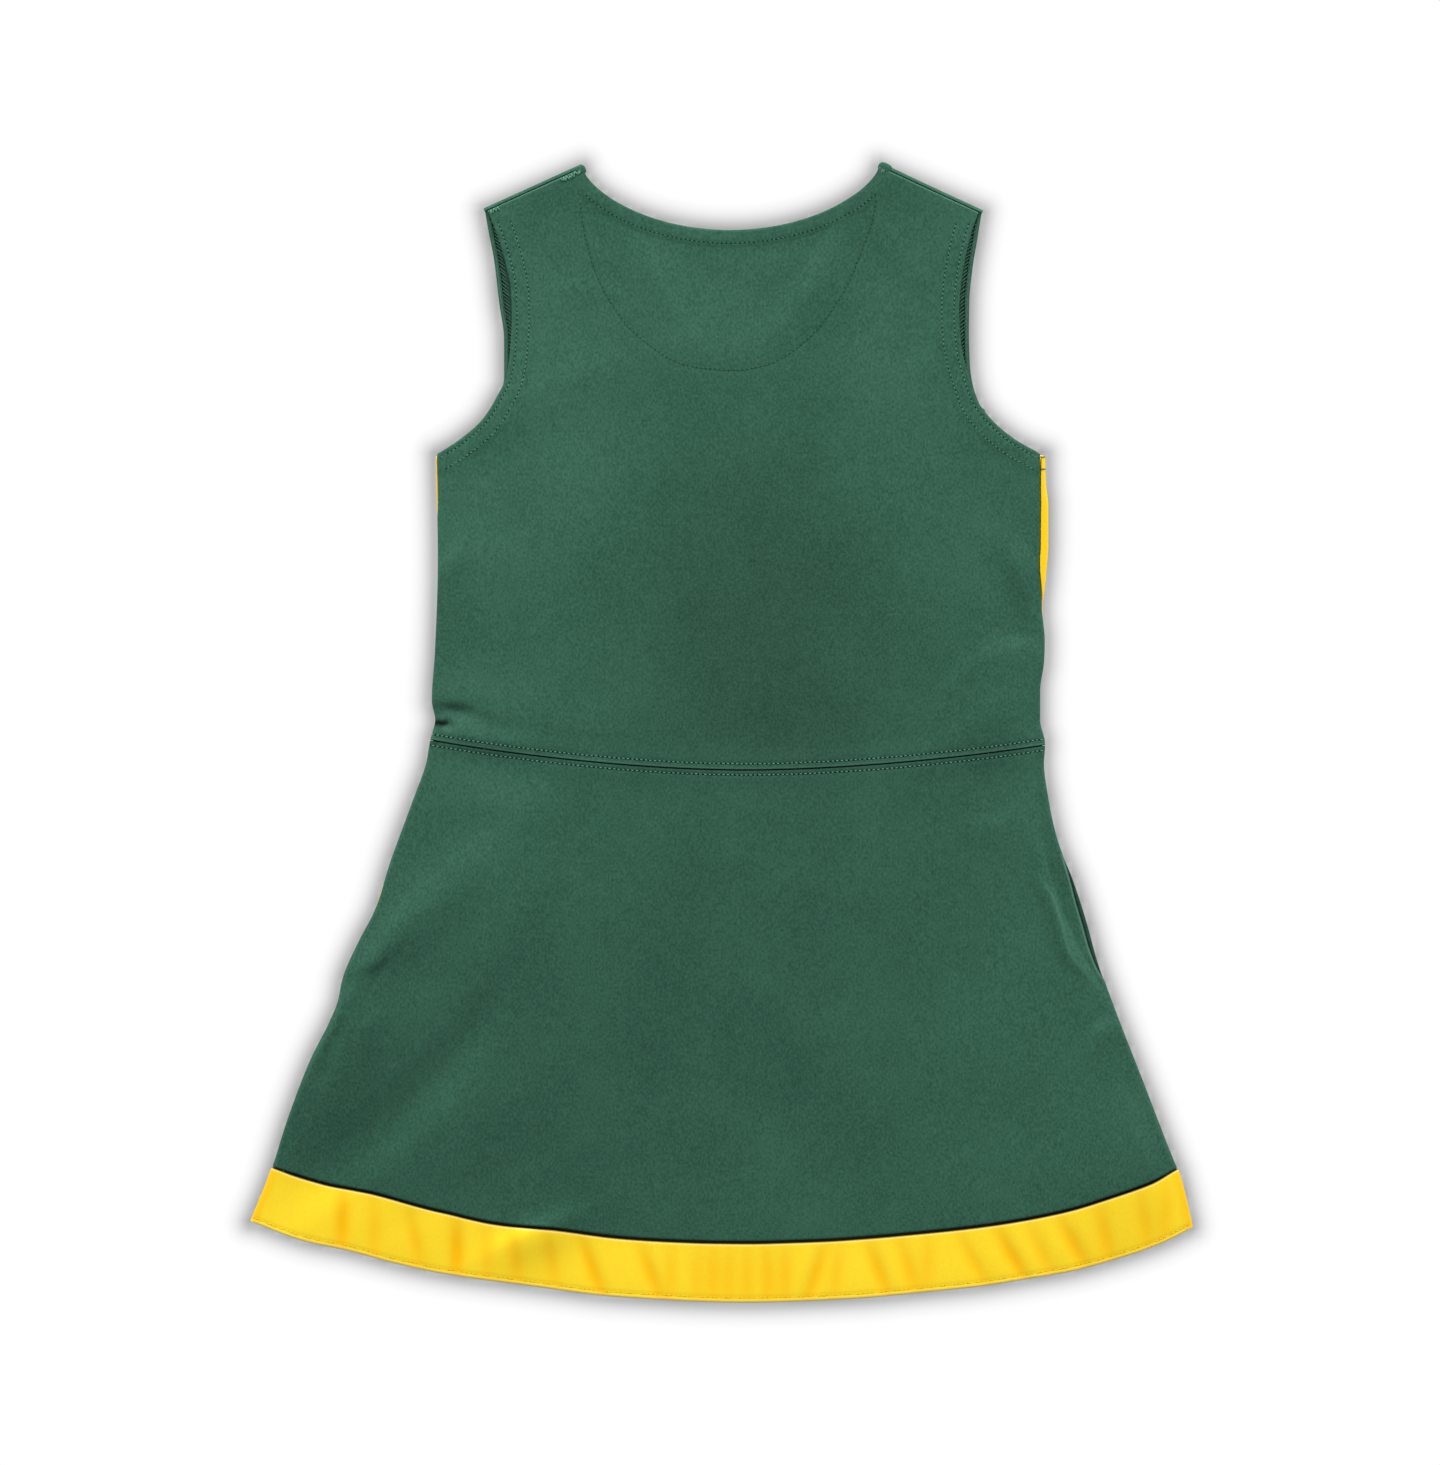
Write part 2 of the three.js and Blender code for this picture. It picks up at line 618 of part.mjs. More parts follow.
function frontBodice() {
  const { shoulder: seam, frontScoop, roll: rollRows } = CELLS;
  const onSeam = (side, x) => ({ x, y: topY(x), side });
  const neck = spread(0, HALF_TURN, frontScoop).slice(1);
  const top = [
    ...spread(LEFT.frontTip, LEFT.neck.x, seam).map((x) => onSeam(LEFT, x)),
    onSeam(LEFT, LEFT.neck.x),
    ...neck.map((turn) => scoop(LEFT.neck, RIGHT.neck, NECK_DEPTH_FRONT, turn)),
    ...spread(RIGHT.neck.x, RIGHT.frontTip, seam).map((x) => onSeam(RIGHT, x)),
    onSeam(RIGHT, RIGHT.frontTip),
  ];
  const grid = gridOf({
    knots: frontKnots,
    lay: layFront,
    columns: top.map((point) => columnThrough(point, frontKnots)),
    guides: [
      { line: shifted(waistY, SEAM_GAP / 2) },
      { line: () => UNDERARM, rows: 6 },
      { line: () => FRONT_SEAM_TOP, rows: 3 },
      { line: () => ARMHOLE_BEND, rows: 2 },
      { heights: top.map(({ y }) => y), rows: 5 },
    ],
  });
  for (let row = 1; row <= rollRows; row++) {
    const rolled = top.map(({ x, y, side }) => {
      if (!side) return null;
      const past = ((HALF_TURN * shoulder(side, x, y).radius - SEAM_GAP / 2) * row) / rollRows;
      return layFront(x + past * side.out.x, y + past * side.out.y);
    });
    grid.push(rolled);
  }
  return wall(turnedOver(grid));
}

const shortOfBack = (x) => FRONT_SHORTER.by * Math.max(0, 1 - ((x - MIDDLE) / FRONT_SHORTER.reach) ** 2);

function frontSkirt() {
  const grid = gridOf({
    knots: frontKnots,
    lay: layFront,
    columns: evenColumns([10]),
    guides: [
      { line: (x) => bandTopY(x) + shortOfBack(x) + SEAM_GAP / 2 },
      { line: shifted(waistY, -SEAM_GAP / 2), rows: 12 },
    ],
  });
  return wall(turnedOver(grid));
}

function frontHemBand() {
  const grid = gridOf({
    knots: (y) => [LEFT, RIGHT].map((side) => roll(side, y).start - side.sign * (BAND_JOIN + SEAM_GAP / 2)),
    lay: layFront,
    columns: evenColumns([24]),
    guides: [
      { line: (x) => hemY(x) + shortOfBack(x) },
      { line: (x) => bandTopY(x) + shortOfBack(x) - SEAM_GAP / 2, rows: 4 },
    ],
  });
  return wall(turnedOver(grid));
}

// A side panel, from its seam with the back round the fold to its seam with the front.
function sidePanel(side, guides) {
  const grid = gridOf({
    knots: (y) => {
      const { start, quarter } = roll(side, y);
      const inset = side.sign * (start - side.frontSeamX(y));
      return [side.seamD(y) - ROLL_GAP + SEAM_GAP / 2, -quarter, -quarter - inset + SEAM_GAP / 2];
    },
    lay: (d, y) => round(side, d, y),
    columns: evenColumns([CELLS.roll, 2]),
    guides,
  });
  return wall(side.sign < 0 ? turnedOver(grid) : grid);
}
const bodiceSide = (side) => sidePanel(side, bodiceGuides((x) => side.frontArmholeY(x)));
const skirtSide = (side) => sidePanel(side, skirtGuides);

function piece(name, geometry, look) {
  const made = new THREE.Mesh(geometry, new THREE.MeshStandardMaterial(look));
  made.name = name;
  return made;
}

const dress = new THREE.Group();
dress.add(
  piece("back_bodice", backBodice(), GREEN),
  piece("back_skirt", backSkirt(), GREEN),
  piece("back_hem_band", backHemBand(), GOLD),
  piece("front_bodice", frontBodice(), GREEN),
  piece("front_skirt", frontSkirt(), GREEN),
  piece("front_hem_band", frontHemBand(), GOLD),
);
for (const side of [LEFT, RIGHT]) {
  dress.add(piece(`${side.name}_bodice_side`, bodiceSide(side), GOLD));
  dress.add(piece(`${side.name}_skirt_side`, skirtSide(side), GOLD));
}

export default dress;
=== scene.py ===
"""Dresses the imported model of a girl's sleeveless cheer dress, laid out on its front with its back up.

Sizes are in millimetres until a mesh is made, in the frame of the model: +X to the right of the laid-out back,
+Y from the hem to the shoulders, +Z up from the surface.
"""

import math

import bpy
import numpy as np
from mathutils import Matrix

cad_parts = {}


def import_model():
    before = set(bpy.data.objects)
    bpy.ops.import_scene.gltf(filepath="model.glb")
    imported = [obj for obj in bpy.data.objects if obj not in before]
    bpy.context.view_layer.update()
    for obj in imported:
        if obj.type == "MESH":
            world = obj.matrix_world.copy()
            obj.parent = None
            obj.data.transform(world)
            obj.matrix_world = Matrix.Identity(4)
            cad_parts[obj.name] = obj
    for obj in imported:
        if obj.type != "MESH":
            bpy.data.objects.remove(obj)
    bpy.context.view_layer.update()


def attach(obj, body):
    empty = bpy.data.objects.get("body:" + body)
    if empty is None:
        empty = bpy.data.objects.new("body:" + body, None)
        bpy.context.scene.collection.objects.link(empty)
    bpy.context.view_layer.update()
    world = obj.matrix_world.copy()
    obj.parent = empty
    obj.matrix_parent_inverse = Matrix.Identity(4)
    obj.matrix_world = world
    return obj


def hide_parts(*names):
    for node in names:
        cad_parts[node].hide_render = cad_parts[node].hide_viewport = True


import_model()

MM = 0.001

# Cloth
CLOTH = 1.0  # thickness of one layer of knit
SEAM_GAP = 0.3  # between two pieces that are sewn together
ROLL_GAP = 0.7  # the same on a fold
BAND_GAP = 1.3  # between the skirt and the hem band, where the seam lies deep
BAND_GAP_END = 0.6  # the same at the side folds
BODICE_EDGE = 0.4  # from the waist seam up to the bodice's lower edge
WAIST_EDGE = 0.1  # from the waist seam down to the skirt's upper edge
SHOULDER_EDGE = 0.4  # from the shoulder seam to the back's upper edge
LAYER_GAP = 0.3  # least air between the back and the front
FRONT_LEVEL = CLOTH / 2  # height of the front's mid-surface
BACK_LEVEL = FRONT_LEVEL + CLOTH + LAYER_GAP  # lowest height of the back's mid-surface
PASSES = 12  # of an estimate that is made better in rounds

# Outline of the two sides. Rows are (y, x), or (y, cloth from the fold's crest to the seam).
UNDERARM = 139
ARMHOLE_BEND = 178  # height at which the armholes turn up to the shoulders
LEFT_TABLES = {
    "crest": [
        (-245, -235.25), (-219, -224.8), (-194, -216.8), (-164, -205.3), (-144, -195.3), (-134, -191.3),
        (-124, -189.3), (-104, -180.8), (-90, -173.5), (-64, -165), (-34, -154), (-14, -147), (-4, -145.2),
        (6, -142.8), (16, -144.5), (40, -143), (86, -141.5), (UNDERARM, -142.5),
    ],
    "seam": [
        (-245, -1.2), (-114, -1.2), (-82, 0.5), (-52, -1.2), (96, -1.2), (106, 0), (116, 1), (UNDERARM, 1.2),
    ],
    "back_armhole": [
        (UNDERARM, -141.6), (146, -130.8), (156, -119.3), (166, -112.8), (177.5, -107.3), (190, -105.3),
        (208, -104.3), (221, -104.8), (234, -107.3), (247.5, -111.3), (260.8, -116.6),
    ],
    "front_armhole": [
        (UNDERARM, -142.5), (145, -131.5), (154.5, -120.5), (164, -114), (177, -108.3), (196, -108.3),
        (215, -110.8), (236, -113.3), (250, -116), (260.8, -117.9),
    ],
    "front_seam": [(-245, -190), (-150, -161), (-60, -134), (0, -117), (60, -113), (162, -113)],
}
RIGHT_TABLES = {
    "crest": [
        (-246, 235.25), (-220, 228.8), (-214, 226.3), (-174, 210.8), (-134, 195.3), (-114, 188.3), (-94, 182.8),
        (-74, 176.3), (-54, 168.3), (-34, 163.8), (-14, 161.3), (-6, 161.8), (6, 159.5), (21, 159.5), (36, 161.5),
        (46, 161.8), (61, 160.6), (78, 162.3), (95, 163.5), (113, 163.5), (124, 162.3), (UNDERARM, 161.8),
    ],
    "seam": [(-245, -1.2), (34, -1.2), (61, 0.6), (88, 4.5), (113, 4.3), (124, 3.2), (UNDERARM, 2.6)],
    "back_armhole": [
        (UNDERARM, 159.9), (146, 147.3), (156, 135.3), (166, 127.8), (175.7, 124.4), (186, 121.3), (196, 119.6),
        (210, 118.8), (224.5, 119.8), (236, 121.7), (249.5, 124.9), (260, 128.6),
    ],
    "front_armhole": [
        (UNDERARM, 161.8), (145, 148.5), (154.5, 136.5), (164, 129.2), (175, 125.5), (184, 124.3), (199.5, 123.8),
        (215, 124), (231, 125.5), (247.5, 128.2), (260, 130.2),
    ],
    "front_seam": [(-245, 192), (-150, 166), (-60, 143), (0, 133), (60, 132), (162, 132)],
}

# Neckline, waist and hem. Rows are (x, y).
NECK_DEPTH_BACK = 31.7
NECK_DEPTH_FRONT = 72
NECK_POWER = 4 / 3  # squareness of the scoop
MIDDLE = 12  # x of the lowest point of the waist seam
WAIST_LOW = -19
WAIST_POWER = 1.8
BAND_TOP = [
    (-224.8, -217), (-215, -220.6), (-205, -223.8), (-195, -226.5), (-185, -228.3), (-175, -230.2), (-165, -232.8),
    (-155, -235.7), (-145, -238.4), (-135, -240.7), (-125, -243.2), (-115, -245.3), (-105, -246.7), (-95, -247.5),
    (-85, -248.2), (-75, -249.5), (-65, -251), (-55, -252.3), (-45, -253.2), (-25, -254.4), (-5, -255.1),
    (15, -255.3), (35, -254.8), (55, -254), (75, -252.6), (95, -250.8), (115, -248.8), (135, -246.3), (155, -243),
    (175, -238.6), (195, -232.3), (205, -228.9), (215, -225.1), (228, -217.9),
]
HEM = [
    (-235.3, -244), (-208, -254), (-185, -259), (-163, -265), (-140, -270), (-95, -276.4), (-50, -282),
    (12, -284.7), (62, -283), (107, -279), (130, -276.5), (152, -273), (175, -269), (197, -263), (220, -255),
    (235.3, -247.3),
]
FRONT_SHORTER = 1.6  # the front's hem hides behind the back's
FRONT_SHORTER_REACH = 175
FRONT_SEAM_TOP = 161  # height at which the front's side seams run out into its armholes
FRONT_WAIST_LOWER = 1.3  # of the front's waist seam below the back's
FRONT_JOIN_HIGHER = 1.3  # of the front's seam above its hem band over the back's, where it isn't higher by itself
BAND_JOIN = 4  # from the start of a side's roll underneath to the join of the two hem bands

# Stitched lines, by their distance from the edge they follow.
NECK_ROW = 6.5
NECK_ROW_TOP = 269  # height up to which the neck is topstitched
ARMHOLE_ROWS = (2.5, 8.5)
STRIP = 1.6  # of plain cloth between the front's armholes and the loops of thread inside
WAIST_ROW = 3.3
SKIRT_ROW = 2.3
HEM_ROW = 2.3
HALF_MOON = [
    (-71, 273), (-69, 254), (-64, 233.5), (-54.3, 213.5), (-40.3, 197), (-15.3, 183), (6.3, 181), (22.3, 183.5),
    (43.8, 197), (55.8, 211.5), (63.8, 225), (70.8, 242), (75.8, 257), (78.8, 276),
]

# How the back lies: it lifts off the front near its folds and open edges, and it carries these folds.
EDGE_LIFT = 1.4
SOFTNESS = 0.3
SIDE_REACH = 30
TOP_REACH = 15
HEM_REACH = 28
FOLD_FADE = 16  # over this width folds sink to half their height at the side edges
# Ridges and troughs: x, y, turn in degrees, length, width above the crest, width below it, height, bend.
FOLDS = [
    # Left of the skirt
    (-160, -100, 42, 71, 11.1, 15.9, 3.33, 0),
    (-175, -121, 24, 16, 3.4, 10.3, -1.19, 3),
    (-197, -162, 39, 128, 49.8, 28.8, 2.72, 6),
    (-139, -194, 49, 74, 11.8, 44.2, 2.72, 11),
    (-197, -151, 64, 29, 10.8, 4.1, 3.33, -2),
    (-177, -147, 70, 9, 2.6, 5.3, 0.55, -2),
    (-134, -138, 50, 98, 40.5, 14.5, 2.33, 17),
    (-113, -34, -5, 24, 20.2, 14.2, 1.76, 0),
    # Right of the skirt
    (190, -96, -74, 28, 6.0, 2.6, 1.67, 4),
    (170, -86, -70, 70, 14.4, 2.6, -2.3, 14),
    (138, -47, 16, 11, 4.3, 17.8, 0.76, 2),
    (193, -148, 24, 14, 4.4, 9.0, 1.12, -10),
    (203, -218, 60, 43, 27.5, 43.3, 2.72, 4),
    (146, -122, 92, 115, 42.1, 43.3, 2.72, -2),
    # Middle of the skirt, over the hem
    (-91, -249, 24, 24, 5.9, 12.2, 2.21, -1),
    (-114, -221, 28, 72, 6.7, 5.9, -0.20, -1),
    # Right of the bodice
    (141, 39, 15, 28, 5.9, 28.8, 1.54, -8),
    (135, 5, 47, 20, 13.0, 20.2, 2.19, 4),
    (150, 79, -75, 18, 7.6, 7.4, 2.58, -4),
    (150, 54, -59, 33, 4.6, 5.7, -0.42, 17),
    # Left of the bodice
    (-118, -3, -10, 33, 8.6, 7.5, 2.3, 3),
    (-133, 11, -6, 11, 3.6, 4.8, -1.72, -1),
    (-137, 4, -13, 2, 2.6, 2.6, -2.36, -1),
    (-142, 17, -14, 66, 15.3, 6.9, 2.08, 4),
    (-136, 85, 44, 16, 2.6, 7.8, 1.08, 4),
    (-108, 91, -37, 9, 3.2, 6.4, 0.23, 1),
    # Shoulders and neck
    (-84, 173, 23, 65, 9.0, 20.2, 0.72, -8),
    (-68, 223, -2, 18, 5.1, 7.8, 0.50, -6),
    (-35, 234, -56, 21, 8.0, 18.2, 1.90, -6),
    (-29, 219, -55, 34, 3.1, 14.6, 0.41, 1),
    (56, 238, 63, 42, 6.7, 22.2, 2.42, 5),
    (83, 226, -55, 24, 6.2, 19.2, -1.50, 5),
    (82, 201, -81, 14, 17.2, 15.4, -1.78, 9),
    (20, 230, 109, 10, 18.3, 21.2, 0.70, 10),
    (7, 191, 15, 15, 5.9, 16.4, 0.60, 3),
]
# A sharp ridge beside the right fold of the skirt: (y, x).
RIDGE = [(-123.4, 184.6), (-117, 178.5), (-109, 173.4), (-95, 169.3), (-82.6, 165.2), (-75, 160.5), (-67, 155)]
# Broad patches of painted light and shade, where the cloth is drawn paler or darker: x, y, half width, half height,
# share.
PAINTED_TONE = [
    (20, 60, 70, 85, -0.22), (-5, 225, 85, 40, 0.14), (-95, 130, 50, 60, 0.15), (110, 140, 50, 60, 0.07),
    (0, -150, 130, 80, -0.06), (150, -180, 60, 70, 0.11), (120, -60, 60, 50, -0.04),
    (-110, -50, 60, 40, 0.1), (60, -230, 90, 50, 0.06), (190, -100, 50, 60, 0.07),
    (70, 245, 40, 40, -0.07),
    (60, -2, 60, 22, -0.08),
]
# Painted shadow of deep narrow tucks: x, y, turn in degrees, length, width, share.
TUCKS = [
    (-142, 4.9, -3, 6, 1.5, 1.2), (-134, 13.4, 5, 6, 2.2, 0.16), (-143, -5.2, 0, 2.5, 0.9, 0.3),
]
# Puckers across the hem band: x at its middle, lean in x for each unit of height, and depth.
PUCKER_WIDTH = 3.9
PUCKERS = [
    (-189, 0.05, 0.7), (-173, 0, 0.35), (-153, -0.2, 0.45), (-132, 0, 0.8), (-117, 0, 0.35), (-103, -0.1, 0.45),
    (-85, -0.15, 0.4), (-65, -0.35, 0.7), (-36, -0.35, 0.6), (-25, 0, 0.35), (-12, 0, 0.35), (-4, 0, 0.45),
    (4, 0, 0.4), (13, 0, 0.4), (23, -0.05, 0.5), (32, 0, 0.45), (48, 0.3, 0.6), (58, 0.1, 0.35), (78, -0.35, 0.6),
    (93, -0.25, 0.5), (103, 0, 0.35), (125, -0.5, 0.45), (144, -0.5, 0.7), (159, -0.4, 0.4), (175, -0.45, 0.6),
    (191, -0.2, 0.5), (211, -0.15, 0.4), (222, 0, 0.35),
]


# Functions of one value

def curve(rows):
    """A smooth function through (from, to) rows. It never overshoots a row, and it is level past the ends."""
    x, y = np.array(sorted(rows), float).T
    step = np.diff(x)
    rate = np.diff(y) / step
    slope = np.zeros(len(x))
    slope[0], slope[-1] = rate[0], rate[-1]
    for i in range(1, len(x) - 1):
        if rate[i - 1] * rate[i] > 0:
            before = 2 * step[i] + step[i - 1]
            after = step[i] + 2 * step[i - 1]
            slope[i] = (before + after) / (before / rate[i - 1] + after / rate[i])

    def at(value):
        v = np.clip(value, x[0], x[-1])
        i = np.clip(np.searchsorted(x, v, side="right") - 1, 0, len(step) - 1)
        t = (v - x[i]) / step[i]
        ease = t * t * (3 - 2 * t)
        bend = step[i] * t * (1 - t) * ((1 - t) * slope[i] - t * slope[i + 1])
        return y[i] + (y[i + 1] - y[i]) * ease + bend

    return at


def bell(value):
    return np.exp(-np.square(value))


def smooth(value, low, high):
    """0 below low, 1 above high and a soft step between."""
    t = np.clip((value - low) / (high - low), 0, 1)
    return t * t * (3 - 2 * t)


def lerp(a, b, t):
    return a + (b - a) * t


ridge_x = curve(RIDGE)
band_top_y = curve(BAND_TOP)
hem_y = curve(HEM)


def band_gap(x):
    middle = smooth(x, -224, -212) * (1 - smooth(x, 216, 228))
    return lerp(BAND_GAP_END, BAND_GAP, middle)


def skirt_bottom_y(x):
    return band_top_y(x) + 0.7 * band_gap(x)


def band_upper_y(x):
    return band_top_y(x) - 0.3 * band_gap(x)


def front_waist_y(x):
    """The front's waist seam: it lies just below the back's, so that one covers the other."""
    return waist_y(x) - FRONT_WAIST_LOWER


def waist_y(x):
    rise = np.where(x < MIDDLE, 15, 12.5)
    reach = np.where(x < MIDDLE, 157, 150)
    return WAIST_LOW + rise * np.minimum(1, np.abs(x - MIDDLE) / reach) ** WAIST_POWER


class Side:
    """One side of the dress: sign is -1 on the left and 1 on the right."""

    def __init__(self, name, sign, tables, tip, front_tip, neck):
        self.name = name
        self.sign = sign
        self.crest_x = curve(tables["crest"])
        self.seam_d = curve(tables["seam"])
        self.back_armhole_x = curve(tables["back_armhole"])
        self.front_armhole_x = curve(tables["front_armhole"])
        self.front_armhole_y = curve([(x, y) for y, x in tables["front_armhole"] if y < ARMHOLE_BEND])
        self.front_seam_x = curve(tables["front_seam"])
        self.tip = np.array(tip)
        self.front_tip = front_tip
        self.neck = np.array(neck)
        along = (self.neck - self.tip) / np.hypot(*(self.neck - self.tip))
        self.along = along
        self.out = np.array([sign * abs(along[1]), abs(along[0])])  # off the shoulder

    def outline_x(self, y):
        return np.where(y <= UNDERARM, self.crest_x(y), self.back_armhole_x(y))

    def roll_up(self):
        """Finds the roll of cloth round the fold, height by height."""
        y = np.arange(-290.0, 150.0, 1.0)
        radius = np.full(y.shape, EDGE_LIFT)
        for _ in range(PASSES):
            start = self.crest_x(y) - self.sign * (CLOTH / 2 + radius)
            radius = (back_height(start, y) - FRONT_LEVEL) / 2
        self._roll = (y, start, radius)

    def roll(self, y):
        """Where the upper and lower ends of the roll lie, and its radius."""
        heights, start, radius = self._roll
        return np.interp(y, heights, start), np.interp(y, heights, radius)


LEFT = Side("left", -1, LEFT_TABLES, (-116.6, 260.8), -117.9, (-69.2, 282.3))
RIGHT = Side("right", 1, RIGHT_TABLES, (128.6, 260.0), 130.2, (79.0, 282.9))
SIDES = (LEFT, RIGHT)


# Shape of the back and the front

def scoop(start, end, depth, turn):
    """A neckline between two neck points: its point at a turn of 0 to half a turn."""
    share = (1 - np.cos(turn)) / 2
    x = lerp(start[0], end[0], share)
    y = lerp(start[1], end[1], share) - depth * np.sin(turn) ** NECK_POWER
    return x, y


def top_y(x):
    """The back's top edge: a shoulder seam, the neckline, the other shoulder seam."""
    share = np.clip((x - LEFT.neck[0]) / (RIGHT.neck[0] - LEFT.neck[0]), 0, 1)
    y = scoop(LEFT.neck, RIGHT.neck, NECK_DEPTH_BACK, np.arccos(1 - 2 * share))[1]
    for side in SIDES:
        seam = side.neck[1] + (x - side.neck[0]) * side.along[1] / side.along[0]
        y = np.where(side.sign * (x - side.neck[0]) >= 0, seam, y)
    return y


def along_and_across(x, y, at_x, at_y, turn):
    """Distances along and across a line that runs through a place at a turn in degrees."""
    c, s = math.cos(math.radians(turn)), math.sin(math.radians(turn))
    return (x - at_x) * c + (y - at_y) * s, (y - at_y) * c - (x - at_x) * s


def fold_height(fold, x, y):
    at_x, at_y, turn, length, upper, lower, height, bend = fold
    along, across = along_and_across(x, y, at_x, at_y, turn)
    u = along / length
    v = across - bend * u * u
    return height * bell(u) * bell(v / np.where(v > 0, upper, lower))


def painted_tone(x, y):
    """How much paler or darker than plain the cloth is drawn at a place, by broad painted light and shade."""
    total = 0
    for at_x, at_y, width, height, share in PAINTED_TONE:
        total = total + share * bell((x - at_x) / width) * bell((y - at_y) / height)
    return total


def ridge_share(y):
    """How high the sharp ridge stands at a height, from 0 to 1."""
    return smooth(y, -127, -110) * (1 - smooth(y, -86, -66))


def ridge_height(x, y):
    off = x - ridge_x(y)
    return 0.9 * ridge_share(y) * bell(off / np.where(off > 0, 2.0, 5.5))


def tuck_shadow(x, y):
    """How much painted shadow darkens a place in one of the tucks."""
    total = 0
    for at_x, at_y, turn, length, width, share in TUCKS:
        along, across = along_and_across(x, y, at_x, at_y, turn)
        total = total + share * bell(along / length) * bell(across / width)
    return np.minimum(total, 0.9)


def pucker_height(x, y):
    middle = (hem_y(x) + band_top_y(x)) / 2
    tall = band_top_y(x) - hem_y(x)
    in_band = bell((y - middle + 0.1 * tall) / (0.52 * tall))
    total = 0
    for at, lean, depth in PUCKERS:
        total = total - depth * in_band * bell((x - at - lean * (y - middle)) / PUCKER_WIDTH)
    return total


def pucker_depth(x, y):
    """How deep in a pucker a place of the hem band lies, from 0 to 1."""
    return np.clip(-pucker_height(x, y) / 0.7, 0, 1)


def back_height(x, y):
    """Height of the back's mid-surface."""
    flat = 1 - bell((top_y(x) - y) / TOP_REACH)
    flat = flat * (1 - bell((y - hem_y(x)) / HEM_REACH))
    for side in SIDES:
        flat = flat * (1 - bell((x - side.outline_x(y)) / SIDE_REACH))
    fade = 1
    for side in SIDES:
        fade = fade * (1 + smooth(side.sign * (side.outline_x(y) - x), 0, FOLD_FADE)) / 2
    relief = EDGE_LIFT * (1 - flat) + pucker_height(x, y)
    relief = relief + ridge_height(x, y)
    for fold in FOLDS:
        relief = relief + fade * fold_height(fold, x, y)
    return BACK_LEVEL + (relief + np.hypot(relief, SOFTNESS)) / 2


def round_fold(side, d, y):
    """A point of the tube at a side: d is cloth from the fold's crest, more than 0 over the back."""
    start, radius = side.roll(y)
    quarter = radius * math.pi / 2
    angle = np.clip(d / radius, -math.pi / 2, math.pi / 2)
    over = np.maximum(0, np.abs(d) - quarter)
    x = start + side.sign * (radius * np.cos(angle) - over)
    z = FRONT_LEVEL + radius + radius * np.sin(angle)
    return np.stack([x, y + 0 * x, np.where(d > quarter, back_height(x, y), z)], -1)


def lay_back(x, y):
    """A point of the back from its flat pattern: past the start of a side's roll it goes round the fold."""
    out = np.stack([x, y + 0 * x, back_height(x, y)], -1)
    for side in SIDES:
        start, radius = side.roll(y)
        past = side.sign * (x - start)
        rolled = round_fold(side, radius * math.pi / 2 - past, y)
        out = np.where(((past > 0) & (y <= UNDERARM))[..., None], rolled, out)
    return out


def shoulder(side, x, y):
    """The roll over a shoulder: how far the cloth runs past its start, and its radius."""
    past = (x - side.tip[0]) * side.out[0] + (y - side.tip[1]) * side.out[1]
    foot_x, foot_y = x - past * side.out[0], y - past * side.out[1]
    return past, (back_height(foot_x, foot_y) - FRONT_LEVEL) / 2


def lay_front(x, y):
    """A point of the front from its flat pattern: past a shoulder's fold it rolls over to the back."""
    out = np.stack([x, y + 0 * x, FRONT_LEVEL + 0 * x], -1)
    for side in SIDES:
        past, radius = shoulder(side, x, y)
        past = np.maximum(past, 0)
        angle = past / radius
        back = radius * np.sin(angle) - past
        rolled = np.stack(
            [x + back * side.out[0], y + back * side.out[1], FRONT_LEVEL + radius - radius * np.cos(angle)], -1
        )
        on_side = (side.sign * (x - MIDDLE) > 0) & (past > 0)
        out = np.where(on_side[..., None], rolled, out)
    return out


for each_side in SIDES:
    each_side.roll_up()


# Panels

def columns(*zones):
    """Columns of a panel from the shares that each zone between two knots is cut at. Each list runs from 0 to 1."""
    pairs = [(0, 0.0)]
    for zone, shares in enumerate(zones):
        pairs += [(zone, share) for share in shares[1:]]
    return np.array([p[0] for p in pairs]), np.array([p[1] for p in pairs])


def even(count):
    return [i / count for i in range(count + 1)]


def within(knots, zone, share):
    zone = np.broadcast_to(zone, knots[0].shape)
    low = np.choose(zone, knots[:-1])
    high = np.choose(zone, knots[1:])
    return lerp(low, high, share)


def column_through(x, y, knots_at):
    """The columns of a panel that run through points of its top edge."""
    knots = knots_at(y)
    zone = sum((x > knot).astype(int) for knot in knots[1:-1])
    low, high = np.choose(zone, knots[:-1]), np.choose(zone, knots[1:])
    return zone, np.clip((x - low) / (high - low), 0, 1)


def grid_of(knots_at, lay, cols, guides):
    """Points of a panel's mid-surface in rows from its bottom edge up, and their places in the flat pattern.

    A guide is (line, rows) or (heights, rows): a line across the panel or a height for each column, and the number of
    rows from the guide below."""
    zone, share = cols
    levels = []
    for line, _ in guides:
        if not callable(line):
            levels.append(line)
            continue
        y = line(np.zeros(len(zone)))
        for _ in range(PASSES):
            y = line(lay(within(knots_at(y), zone, share), y)[..., 0])
        levels.append(y)
    rows = [levels[0]]
    for below, above, (_, count) in zip(levels, levels[1:], guides[1:]):
        rows += [lerp(below, above, step / count) for step in range(1, count + 1)]
    y = np.array(rows)
    x = within(knots_at(y), zone, share)
    return lay(x, y), x, y


def beside(grid, axis, step):
    """The neighbouring points of a grid, or the points themselves where there is none."""
    moved = np.full_like(grid, np.nan)
    target = [slice(None)] * 3
    source = [slice(None)] * 3
    target[axis] = slice(None, -1) if step > 0 else slice(1, None)
    source[axis] = slice(1, None) if step > 0 else slice(None, -1)
    moved[tuple(target)] = grid[tuple(source)]
    return np.where(np.isnan(moved), grid, moved)


def unit(vectors):
    length = np.linalg.norm(vectors, axis=-1, keepdims=True)
    return vectors / np.maximum(length, 1e-9)


